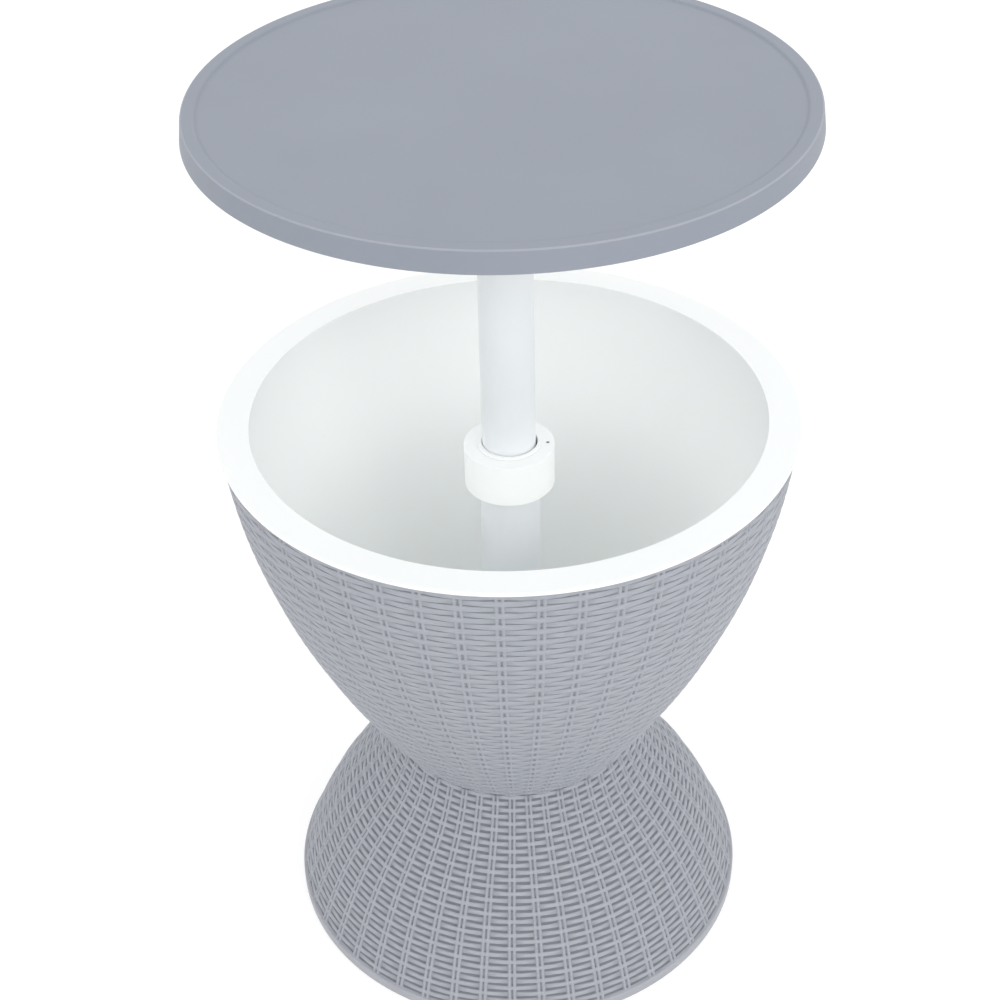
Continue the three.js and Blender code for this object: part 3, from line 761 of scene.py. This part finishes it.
for quarter, side in enumerate(QUARTER_NAMES):
    woven = woven_quarter(f"bucket_weave_{side}", bucket_meridian(), BUCKET_WEAVE, quarter, False)
    finish(woven, "woven_resin", "body", "bucket_shell", angle=50, flats=False)
    woven = woven_quarter(f"base_weave_{side}", base_meridian(), BASE_WEAVE, quarter, True)
    finish(woven, "woven_resin", "body", "base_shell", angle=50, flats=False)


# Base foot and the plates at the waist

foot_width = 14 * MM
foot_round = 0.9 * MM
band_slope = 0.2 * MM
band_overlap = 0.1 * MM
WAIST_SCREWS = 6
waist_screw_circle = 98 * MM
waist_screw_spots = [spot for spot, _ in around(WAIST_SCREWS, waist_screw_circle, math.pi / WAIST_SCREWS)]
screw_hole = 1.9 * MM
passage_hole = 29 * MM
drain_passage = 13.9 * MM
boss_radius = 6 * MM
boss_height = 11 * MM
boss_roof = 0.8 * MM
base_plate_inset = 2.6 * MM
floor_plate_inset = 1.6 * MM


def drilled(piece, bottom, top):
    """Takes the waist screw holes and the drain passage out of a plate, between two heights."""
    cutters = [round_bar(screw_hole, bottom, top, spot) for spot in waist_screw_spots]
    cutters.append(round_bar(drain_passage, bottom, top, drain_place))
    return combine(piece, cutters, "DIFFERENCE")


def base_foot():
    """Plain band and turned-in foot under the woven base."""
    inner = base_radius - foot_width
    ledge = base_radius - base_band_inset
    ledge_height = base_band_height + band_overlap
    outline = [
        (inner, 0),
        (base_radius, 0),
        (base_radius, base_band_height - band_slope),
        (ledge, ledge_height),
        (ledge - shell_wall, ledge_height),
        (ledge - shell_wall, shell_wall),
        (inner, shell_wall),
    ]
    return soften(turned("base_foot", outline, WIDE_STEPS), foot_round)


def base_waist_plate():
    """Plate across the top of the base, which the bucket's floor stands on."""
    bottom = base_top - shell_wall
    plate = tube("base_waist_plate", passage_hole, waist_radius - base_plate_inset, bottom, base_top)
    return drilled(plate, bottom - overrun, base_top + overrun)


def bucket_floor_plate():
    """Floor of the bucket shell with the bosses that the waist screws bite into."""
    top = shell_bottom + shell_wall
    boss_top = top + boss_height
    plate = tube("bucket_floor_plate", passage_hole, waist_radius - floor_plate_inset, shell_bottom, top)
    bosses = [round_bar(boss_radius, shell_bottom + overrun, boss_top, spot) for spot in waist_screw_spots]
    combine(plate, bosses, "UNION")
    return soften(drilled(plate, shell_bottom - overrun, boss_top - boss_roof), fine_round, segments=2)


finish(base_foot(), "woven_resin", "body", "base_shell", look="plain_resin")
finish(base_waist_plate(), "woven_resin", "body", "base_shell", look="plain_resin")
finish(bucket_floor_plate(), "woven_resin", "body", "bucket_shell", look="plain_resin")


# White liner with its flat rim

liner_floor = liner_bottom + liner_wall
liner_floor_radius = 100 * MM
liner_corner_run = 8 * MM
liner_corner_rise = 6 * MM
liner_corner_hold = 3 * MM
liner_round = 1.2 * MM
seal_width = 13.5 * MM
LINER_OUT_SHARE = 0.9
LINER_UP_SHARE = 0.5
LINER_CORNER_STEPS = 6
LINER_WALL_STEPS = 40


def offset_outline(points, distance):
    """An open outline set back square to itself."""
    track = np.array(points)
    way = np.gradient(track, axis=0)
    way /= np.hypot(way[:, 0], way[:, 1])[:, None]
    return [tuple(p) for p in track + distance * np.stack([way[:, 1], -way[:, 0]], axis=1)]


def bucket_liner():
    """Inner bucket with a rounded corner at its floor and a flat rim that covers the shell's edge."""
    rim_inner = rim_radius - rim_width
    column_hole = reach("column_seal") - seal_width
    corner_end = (liner_floor_radius + liner_corner_run, liner_floor + liner_corner_rise)
    corner_knee = (corner_end[0] - liner_corner_hold, liner_floor)
    corner = bezier([(liner_floor_radius, liner_floor), corner_knee, corner_end], LINER_CORNER_STEPS)
    wall = bend(corner_end, (rim_inner, rim_top), LINER_OUT_SHARE, LINER_UP_SHARE, LINER_WALL_STEPS)
    inside = corner + wall[1:]
    outside = [point for point in offset_outline(inside, liner_wall) if point[1] < rim_top - liner_wall]
    liner = turned(
        "white_liner",
        [
            (column_hole, liner_floor),
            *inside,
            (rim_radius, rim_top),
            (rim_radius, rim_top - liner_wall),
            (rim_inner + liner_wall, rim_top - liner_wall),
            *outside[::-1],
            (column_hole, liner_bottom),
        ],
        WIDE_STEPS,
    )
    drain_hole = round_bar(drain_bore, liner_bottom - overrun, liner_floor + overrun, drain_place)
    combine(liner, [drain_hole], "DIFFERENCE")
    return soften(liner, liner_round, angle=40)


finish(bucket_liner(), "liner_white", "body", "bucket_liner")


# Column, collar and pole

pole_wall = 1.6 * MM
column_clearance = MM
flange_height = 4 * MM
flange_edge = 2.6 * MM
flange_slope = 8 * MM
flange_fillet = 2 * MM
collar_wall = 3.6 * MM
collar_groove = 5 * MM
collar_plate = 9 * MM
collar_round = 1.3 * MM
pin_hole = 1.55 * MM
bush_clearance = 1.1 * MM
bush_lip_height = 2.2 * MM
bush_shift = 0.5 * MM
ring_round = 0.5 * MM


def column():
    """White tube with the foot flange that stands on the bucket floor."""
    bore = pole_radius + column_clearance
    flange_bottom = high("column_seal") + gap
    flange_top = flange_bottom + flange_height
    outline = [
        (bore, column_bottom),
        (column_radius, column_bottom),
        (column_radius, flange_bottom),
        (column_foot_radius, flange_bottom),
        (column_foot_radius, flange_bottom + flange_edge),
        (column_foot_radius - flange_slope, flange_top),
        (column_radius + flange_fillet, flange_top),
        (column_radius, flange_top + flange_fillet),
        (column_radius, column_top),
        (bore, column_top),
    ]
    return soften(turned("column", outline, TUBE_STEPS), ring_round)


def collar():
    """Capped ring over the column's top, its edges well rounded."""
    lowest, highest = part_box("locking_collar")
    radius = highest.x
    bore = column_radius + gap
    bush_hole = reach("collar_bush") - bush_lip + gap
    plate_bottom = highest.z - collar_plate
    groove_outside = radius - collar_wall
    groove_inside = groove_outside - collar_groove
    outline = [
        (bore, lowest.z),
        (groove_inside, lowest.z),
        (groove_inside, plate_bottom),
        (groove_outside, plate_bottom),
        (groove_outside, lowest.z),
        (radius, lowest.z),
        (radius, highest.z),
        (bush_hole, highest.z),
        (bush_hole, plate_bottom),
        (bore, plate_bottom),
    ]
    piece = turned("collar", outline, TUBE_STEPS)
    hole = round_bar(pin_hole, plate_bottom - overrun, highest.z + overrun, middle("collar_pin"))
    combine(piece, [hole], "DIFFERENCE")
    return soften(piece, collar_round, segments=4, angle=50)


def bush():
    """Guide ring whose raised lip shows round the pole; its bore stands a little off centre."""
    lowest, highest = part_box("collar_bush")
    lip_bottom = highest.z - bush_lip_height
    bore = pole_radius + bush_clearance
    sleeve = highest.x - bush_lip
    outline = [
        (bore, lowest.z),
        (sleeve, lowest.z),
        (sleeve, lip_bottom),
        (highest.x, lip_bottom),
        (highest.x, highest.z),
        (bore, highest.z),
    ]
    piece = turned("collar_guide_bush", outline, TUBE_STEPS)
    for point in piece.data.vertices:
        if math.hypot(point.co.x, point.co.y) < (bore + sleeve) / 2:
            point.co.x += bush_shift
    return soften(piece, ring_round, angle=50)


def pin():
    lowest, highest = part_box("collar_pin")
    centre = middle("collar_pin").x
    piece = disc("collar_stop_pin", highest.x - centre, lowest.z, highest.z)
    piece.location = (centre, 0, 0)
    return soften(settle(piece), slight_round)


def pole():
    lowest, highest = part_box("pole_tube")
    return soften(tube("pole", pole_radius - pole_wall, pole_radius, lowest.z, highest.z), fine_round)


finish(column(), "pole_white", "body", "column_tube")
finish(collar(), "liner_white", "body", "locking_collar")
finish(bush(), "liner_white", "body", "collar_bush")
finish(pin(), "fitting_grey", "body", "collar_pin")
finish(pole(), "pole_white", "top", "pole_tube")


# Tabletop and its underside

top_wall = 3 * MM
bead_width = 12 * MM
bead_height = 2 * MM
bead_turn = 3 * MM
bead_foot_rise = 0.7 * MM
bead_foot_hold = 0.8 * MM
bead_crown_hold = 0.9 * MM
BEAD_STEPS = 4
edge_turn = 2.2 * MM
edge_drop = 2 * MM
edge_lean = 0.25 * MM
EDGE_STEPS = 6
skirt_flare = 2.3 * MM
skirt_round = 0.8 * MM
# Band just under the upper edge where a highlight is painted
highlight_width = 1.5 * MM
highlight_from = 0.2 * MM
highlight_to = MM


def tabletop():
    """Dished disc with a low bead round its edge and a short flared skirt."""
    edge = skirt_radius - skirt_flare
    floor = table_top - bead_height
    bead = edge - bead_width
    side = (bead, floor + bead_foot_rise)
    foot = bezier([(bead - bead_turn, floor), (bead - bead_foot_hold, floor), side], BEAD_STEPS)
    crown = bezier([side, (bead + bead_crown_hold, table_top), (bead + bead_turn, table_top)], BEAD_STEPS)
    edge_side = (edge + edge_lean, table_top - edge_drop)
    turn = bezier([(edge - edge_turn, table_top), (edge, table_top), edge_side], EDGE_STEPS)
    outline = [
        (0, floor),
        *foot,
        *crown[1:],
        *turn,
        (skirt_radius, skirt_bottom),
        (skirt_radius - top_wall, skirt_bottom),
        (edge - top_wall, floor - top_wall),
        (0, floor - top_wall),
    ]
    top = soften(turned("tabletop", outline, WIDE_STEPS), skirt_round, angle=50)
    # Marks the points of that band for the painted highlight
    highlight_mask = top.data.attributes.new("edge_highlight", "FLOAT", "POINT").data
    for point, share in zip(top.data.vertices, highlight_mask):
        out = math.hypot(point.co.x, point.co.y) - edge
        down = table_top - point.co.z
        share.value = float(out > -highlight_width and highlight_from < down < highlight_to)
    return top


underside_wall = 3 * MM
rib_wall = 2 * MM
rib_height = 2 * MM
ring_radii = (reach("pole_hub") + 8 * MM, 130 * MM, 205 * MM)
SPOKES = 16
spoke_overlap = MM
spoke_setback = 0.2 * MM


def tabletop_underside():
    """Plate that closes the tabletop from below, with rings and spokes that stiffen it.

    Each of them is rounded before it is joined, and the spokes are set back a little from the rings.
    """
    lowest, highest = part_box("tabletop_underside")
    plate = disc("tabletop_underside_plate", highest.x, lowest.z, lowest.z + underside_wall, WIDE_STEPS)
    soften(plate, fine_round, segments=2)
    under = lowest.z - rib_height
    inside = lowest.z + overrun
    rings = [
        soften(
            tube("rib_ring", radius - rib_wall, radius, under, inside, WIDE_STEPS),
            fine_round,
            segments=2,
        )
        for radius in ring_radii
    ]
    combine(plate, rings, "UNION")
    start = ring_radii[0] - spoke_overlap
    length = ring_radii[-1] - spoke_overlap - start
    size = (length, rib_wall, rib_height + overrun)
    place = (start + length / 2, 0, (under + inside) / 2 + spoke_setback)
    spokes = [
        soften(block("spoke", size, place, angle), fine_round, segments=2)
        for _, angle in around(SPOKES, 0)
    ]
    return combine(plate, spokes, "UNION")


hub_wall = 5 * MM
hub_flange = 4 * MM
hub_round = 0.6 * MM
GUSSETS = 8
gusset_wall = 2.4 * MM
gusset_inset = 3 * MM
gusset_lip = 1.5 * MM


def hub():
    """Flanged socket that holds the pole's upper end, with gussets under the flange."""
    lowest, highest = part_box("pole_hub")
    flange_radius = highest.x
    bore = pole_radius + gap
    bore_end = high("pole_tube") + gap
    radius = bore + hub_wall
    flange_bottom = highest.z - hub_flange
    outline = [
        (bore, lowest.z),
        (radius, lowest.z),
        (radius, flange_bottom),
        (flange_radius, flange_bottom),
        (flange_radius, highest.z),
        (0, highest.z),
        (0, bore_end),
        (bore, bore_end),
    ]
    piece = turned("hub", outline, TUBE_STEPS)
    rise = flange_bottom - lowest.z - gusset_inset
    run = flange_radius - radius - gusset_inset
    size = (run + overrun, gusset_wall, rise + overrun)
    place = (radius + (run - overrun) / 2, 0, flange_bottom - (rise - overrun) / 2)
    gussets = []
    for _, angle in around(GUSSETS, 0):
        gusset = block("gusset", size, place)
        for point in gusset.data.vertices:
            if point.co.x > radius + run / 2 and point.co.z < flange_bottom - rise / 2:
                point.co.z = flange_bottom - gusset_lip
        gusset.rotation_euler = (0, 0, angle)
        gussets.append(settle(gusset))
    combine(piece, gussets, "UNION")
    return soften(piece, hub_round, segments=2)


finish(tabletop(), "tabletop_resin", "top", "tabletop_top")
finish(tabletop_underside(), "tabletop_resin", "top", "tabletop_underside")
finish(hub(), "fitting_grey", "top", "pole_hub")


# Fasteners

screw_head = 4.4 * MM
screw_head_depth = 2.1 * MM
screw_shank = 1.6 * MM
screw_round = 0.15 * MM
SCREW_POINT_SHARE = 1.5
SCREW_TURN = 0.7

# Outline of a pan head, as shares of its radius and depth
PAN_SHARES = ((0.45, 1), (0.8, 0.82), (1, 0.4))

# Arm of the crossed recess; the lower half of it lies outside the head
cross_arm = (4.4 * MM, 0.9 * MM, 2.4 * MM)


def pan_screw(length):
    """Pan-head screw pointing up from its seat at height 0, with a crossed recess in its head."""
    tip = length - screw_head_depth
    outline = [
        (0, -screw_head_depth),
        *((screw_head * out, -screw_head_depth * down) for out, down in PAN_SHARES),
        (screw_head, 0),
        (screw_shank, 0),
        (screw_shank, tip - SCREW_POINT_SHARE * screw_shank),
        (0, tip),
    ]
    screw = soften(turned("screw", outline, SMALL_STEPS), screw_round, segments=2)
    arms = [block("arm", cross_arm, (0, 0, -screw_head_depth), turn) for turn in (0, math.pi / 2)]
    return combine(screw, [combine(arms[0], arms[1:], "UNION")], "DIFFERENCE")


def place_screws(node, body):
    """Like screws at the nodes that share a name, each driven home at a turn of its own."""
    lowest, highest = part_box(f"{node}_1")
    pattern = pan_screw(highest.z - lowest.z)
    count = sum(name.startswith(f"{node}_") for name in frame["nodes"])
    for index in range(1, count + 1):
        spot = middle(f"{node}_{index}")
        seat = (spot.x, spot.y, lowest.z + screw_head_depth)
        screw = copy_at(pattern, f"{node}_{index}_crosshead", seat, index * SCREW_TURN)
        finish(screw, "screw_steel", body, f"{node}_{index}")
    bpy.data.objects.remove(pattern)


place_screws("waist_screw", "body")
place_screws("tabletop_screw", "top")
place_screws("hub_screw", "top")

socket_radius = 1.8 * MM
socket_depth = 2.4 * MM
NUT_FLAT_SHARE = 0.9
NUT_CHAMFER_SHARE = 0.08
cap_plug_fit = 0.7 * MM
cap_plug_taper = 0.4 * MM
cap_rim = 3.7 * MM
cap_dish = 1.2 * MM
cap_round = 0.6 * MM
CAP_DISH_SHARE = 0.7
CAP_RING_SHARE = 0.76


def hexagon(name, corner_radius, bottom, top):
    """A hexagonal bar with two of its corners along X."""
    clear_selection()
    bpy.ops.mesh.primitive_cylinder_add(
        vertices=6,
        radius=corner_radius,
        depth=top - bottom,
        location=(0, 0, (bottom + top) / 2),
        rotation=(0, 0, math.pi / 6),
    )
    piece = bpy.context.object
    piece.name = name
    return settle(piece)


def set_screw():
    """Headless screw at the back of the hub, with a hexagonal socket in its outer end."""
    lowest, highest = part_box("hub_set_screw")
    screw = disc("hub_grub_screw", (highest.x - lowest.x) / 2, lowest.y, highest.y)
    socket = hexagon("socket", socket_radius, highest.y - socket_depth, highest.y + overrun)
    soften(combine(screw, [socket], "DIFFERENCE"), slight_round, segments=2)
    screw.rotation_euler = (-math.pi / 2, 0, 0)
    screw.location = (0, 0, middle("hub_set_screw").z)
    return settle(screw)


def nut(name, node, bore):
    """Hexagonal moulded nut, its corners chamfered at both ends."""
    lowest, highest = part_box(node)
    corner_radius = (highest.x - lowest.x) / 2
    bottom, top = lowest.z, highest.z
    piece = hexagon(name, corner_radius, bottom, top)
    flat = corner_radius * NUT_FLAT_SHARE
    outside = corner_radius + overrun
    fall = corner_radius * NUT_CHAMFER_SHARE
    outline = [
        (0, bottom),
        (flat, bottom),
        (outside, bottom + fall),
        (outside, top - fall),
        (flat, top),
        (0, top),
    ]
    combine(piece, [turned("chamfer", outline, TUBE_STEPS)], "INTERSECT")
    combine(piece, [round_bar(bore, bottom - overrun, top + overrun, Vector())], "DIFFERENCE")
    soften(piece, fine_round, segments=2)
    return stand_at(node, piece)


def washer(name, node, bore):
    """Rubber washer with rounded edges."""
    lowest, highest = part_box(node)
    piece = tube(name, bore, (highest.x - lowest.x) / 2, lowest.z, highest.z)
    soften(piece, fine_round)
    return stand_at(node, piece)


def end_cap():
    """Push-in cap of the column, with a shallow dish in its outer face."""
    lowest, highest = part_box("column_end_cap")
    radius = highest.x
    plug = pole_radius + cap_plug_fit
    rim = lowest.z + cap_rim
    dish = lowest.z + cap_dish
    outline = [
        (0, dish),
        (radius * CAP_DISH_SHARE, dish),
        (radius * CAP_RING_SHARE, lowest.z),
        (radius, lowest.z),
        (radius, rim),
        (plug, rim),
        (plug - cap_plug_taper, highest.z),
        (0, highest.z),
    ]
    return soften(turned("column_foot_cap", outline, TUBE_STEPS), cap_round)


column_bore = column_radius + gap
finish(set_screw(), "screw_steel", "top", "hub_set_screw")
finish(nut("column_hexagon_nut", "column_nut", column_bore), "fitting_grey", "body", "column_nut")
finish(nut("drain_hexagon_nut", "drain_nut", drain_bore), "fitting_grey", "body", "drain_nut")
finish(washer("column_washer", "column_seal", column_bore), "seal_black", "body", "column_seal")
finish(washer("drain_washer", "drain_seal", drain_bore), "seal_black", "body", "drain_seal")
finish(end_cap(), "fitting_grey", "body", "column_end_cap")


# Drain

spigot_bore = 8 * MM
spigot_wall = 3.7 * MM
spigot_flange = 2.5 * MM
spigot_slope = 3 * MM
spigot_slope_fall = 1.2 * MM
plug_stem = 7.7 * MM
plug_tip = 4 * MM
PLUG_TIP_SHARE = 0.75
plug_head = 3 * MM
plug_head_edge = 2 * MM
plug_head_slope = 2.5 * MM
ring_groove_drop = 5 * MM
ring_groove_width = 3.2 * MM
ring_groove_depth = 2.6 * MM
ring_thickness = 1.15 * MM
tab_width = 12 * MM
tab_wall = 3 * MM
tab_round = 1.3 * MM


def drain_piece(name, outline):
    piece = turned(name, outline, SMALL_STEPS * 2)
    piece.location = drain_place
    return settle(piece)


def drain_outlet():
    lowest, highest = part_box("drain_outlet")
    flange = highest.x
    outside = spigot_bore + spigot_wall
    top = highest.z
    flange_bottom = top - spigot_flange
    outline = [
        (spigot_bore, lowest.z),
        (outside, lowest.z),
        (outside, flange_bottom),
        (flange, flange_bottom),
        (flange, top - spigot_slope_fall),
        (flange - spigot_slope, top),
        (spigot_bore, top),
    ]
    return soften(drain_piece("drain_spigot", outline), fine_round)


def drain_plug():
    """Push-in plug with a finger tab."""
    lowest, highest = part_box("drain_plug")
    seat = high("drain_outlet") + gap
    head = highest.x
    head_top = seat + plug_head
    groove = plug_stem - ring_groove_depth
    groove_top = seat - gap - ring_groove_drop
    groove_bottom = groove_top - ring_groove_width
    outline = [
        (0, lowest.z),
        (plug_stem * PLUG_TIP_SHARE, lowest.z),
        (plug_stem, lowest.z + plug_tip),
        (plug_stem, groove_bottom),
        (groove, groove_bottom),
        (groove, groove_top),
        (plug_stem, groove_top),
        (plug_stem, seat),
        (head, seat),
        (head, seat + plug_head_edge),
        (head - plug_head_slope, head_top),
        (0, head_top),
    ]
    plug = drain_piece("drain_stopper", outline)
    tab_height = highest.z - seat - plug_head_edge
    tab = block("tab", (tab_width, tab_wall, tab_height), (0, drain_place.y, highest.z - tab_height / 2))
    soften(tab, tab_round)
    combine(plug, [tab], "UNION")
    return soften(plug, slight_round, segments=2, angle=50)


def drain_ring():
    """Rubber ring in the plug's groove."""
    lowest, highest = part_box("drain_plug_seal")
    clear_selection()
    bpy.ops.mesh.primitive_torus_add(
        major_segments=48,
        minor_segments=12,
        major_radius=highest.x - ring_thickness,
        minor_radius=ring_thickness,
        location=(0, drain_place.y, (lowest.z + highest.z) / 2),
    )
    ring = bpy.context.object
    ring.name = "drain_plug_ring"
    return settle(ring)


finish(drain_outlet(), "liner_white", "body", "drain_outlet")
finish(drain_plug(), "fitting_grey", "plug", "drain_plug")
finish(drain_ring(), "seal_black", "plug", "drain_plug_seal")

# Finishes of the parts inside, which stay as they are
for row in frame["record"]["subparts"]:
    node = frame["nodes"][row["node"]]
    if not node.hide_render:
        node.data.materials.clear()
        node.data.materials.append(finishes[row["material_slot"]])


# Floor, lamp and camera

FLOOR_RADIUS = 7
floor_drop = 0.2 * MM
PAPER_GLOW = 1.12
PAPER_GLOW_SHARE = 0.6
LAMP_PLACE = (1.4, -2.4, 1.6)
LAMP_TARGET = (0, 0, 0.45)
LAMP_SIZE = 1.6
LAMP_POWER = 12

# The photograph's view, solved from the outlines of the tabletop, the rim and the base
CAMERA_PLACE = (0, -1.34807, 1.44993)
CAMERA_TURN = (53.429, 1.2174, -0.5085)
CAMERA_LENS = 67.29


def seen_directly(tree):
    """1 for what the camera, a reflection or a clear piece shows, 0 for light on surfaces."""
    path = add(tree, "LightPath").outputs
    seen = add(tree, "Math", {0: path["Is Camera Ray"], 1: path["Is Glossy Ray"]}, operation="MAXIMUM")
    return add(
        tree,
        "Math",
        {0: seen.outputs[0], 1: path["Is Transmission Ray"]},
        operation="MAXIMUM",
    ).outputs[0]


def floor_finish():
    """Matt white paper; the camera sees it lifted to white, with the object's soft shadow kept."""
    material, tree = new_material("white_paper_floor")
    paper = add(tree, "BsdfDiffuse", {"Color": linear("#f4f4f4")})
    glow = add(tree, "Emission", {"Color": (1, 1, 1, 1), "Strength": PAPER_GLOW})
    share = add(tree, "Math", {0: seen_directly(tree), 1: PAPER_GLOW_SHARE}, operation="MULTIPLY")
    mix = add(tree, "MixShader", {0: share.outputs[0], 1: paper.outputs[0], 2: glow.outputs[0]})
    add(tree, "OutputMaterial", {"Surface": mix.outputs[0]})
    return material


def floor():
    clear_selection()
    bpy.ops.mesh.primitive_circle_add(
        vertices=TUBE_STEPS,
        radius=FLOOR_RADIUS,
        fill_type="NGON",
        location=(0, 0, -floor_drop),
    )
    piece = bpy.context.object
    piece.name = "floor"
    piece.data.materials.append(floor_finish())


def front_softbox():
    """A square softbox in front on the right, aimed at the bucket."""
    light = bpy.data.lights.new("front_softbox", "AREA")
    light.shape = "SQUARE"
    light.size = LAMP_SIZE
    light.energy = LAMP_POWER
    holder = bpy.data.objects.new("front_softbox", light)
    holder.location = LAMP_PLACE
    aim = Vector(LAMP_TARGET) - Vector(LAMP_PLACE)
    holder.rotation_euler = aim.to_track_quat("-Z", "Y").to_euler()
    bpy.context.scene.collection.objects.link(holder)


# Brightness of the room at the horizon, and how much it changes between two heights of the view
WALL_LEVEL = 0.45
WALL_STEPS = ((0.31, 0.36, 1.65), (0.58, 0.62, -1.0), (0.93, 0.96, -1.0))
FRONT_SHARE = 1.1
BACK_SHARE = 0.85


def white_room():
    """Soft light from bright walls, most in front, under a dim ceiling; seen directly, it is white."""
    world = bpy.data.worlds.new("studio")
    world.use_nodes = True
    tree = world.node_tree
    tree.nodes.clear()
    way = add(tree, "TexCoord").outputs["Generated"]
    axes = add(tree, "SeparateXYZ", {0: way}).outputs
    walls = WALL_LEVEL
    for start, end, change in WALL_STEPS:
        step = add(
            tree,
            "MapRange",
            {"Value": axes["Z"], "From Min": start, "From Max": end, "To Max": change},
        ).outputs["Result"]
        walls = add(tree, "Math", {0: walls, 1: step}).outputs[0]
    facing = add(
        tree,
        "MapRange",
        {"Value": axes["Y"], "From Min": -1, "To Min": FRONT_SHARE, "To Max": BACK_SHARE},
    ).outputs["Result"]
    light = add(tree, "Math", {0: walls, 1: facing}, operation="MULTIPLY").outputs[0]
    level = add(tree, "Mix", {0: seen_directly(tree), 2: light, 3: 1.0}).outputs[0]
    sky = add(tree, "Background", {"Color": (1, 1, 1, 1), "Strength": level})
    add(tree, "OutputWorld", {"Surface": sky.outputs[0]})
    bpy.context.scene.world = world


def camera():
    """The photograph's view: from the front and above, turned a little to the left."""
    lens = bpy.data.cameras.new("camera")
    lens.sensor_width = 36
    lens.lens = CAMERA_LENS
    lens.clip_end = 50
    holder = bpy.data.objects.new("camera", lens)
    holder.location = CAMERA_PLACE
    holder.rotation_euler = [math.radians(angle) for angle in CAMERA_TURN]
    bpy.context.scene.collection.objects.link(holder)
    bpy.context.scene.camera = holder


floor()
white_room()
front_softbox()
camera()
bpy.context.scene.view_settings.view_transform = "Standard"
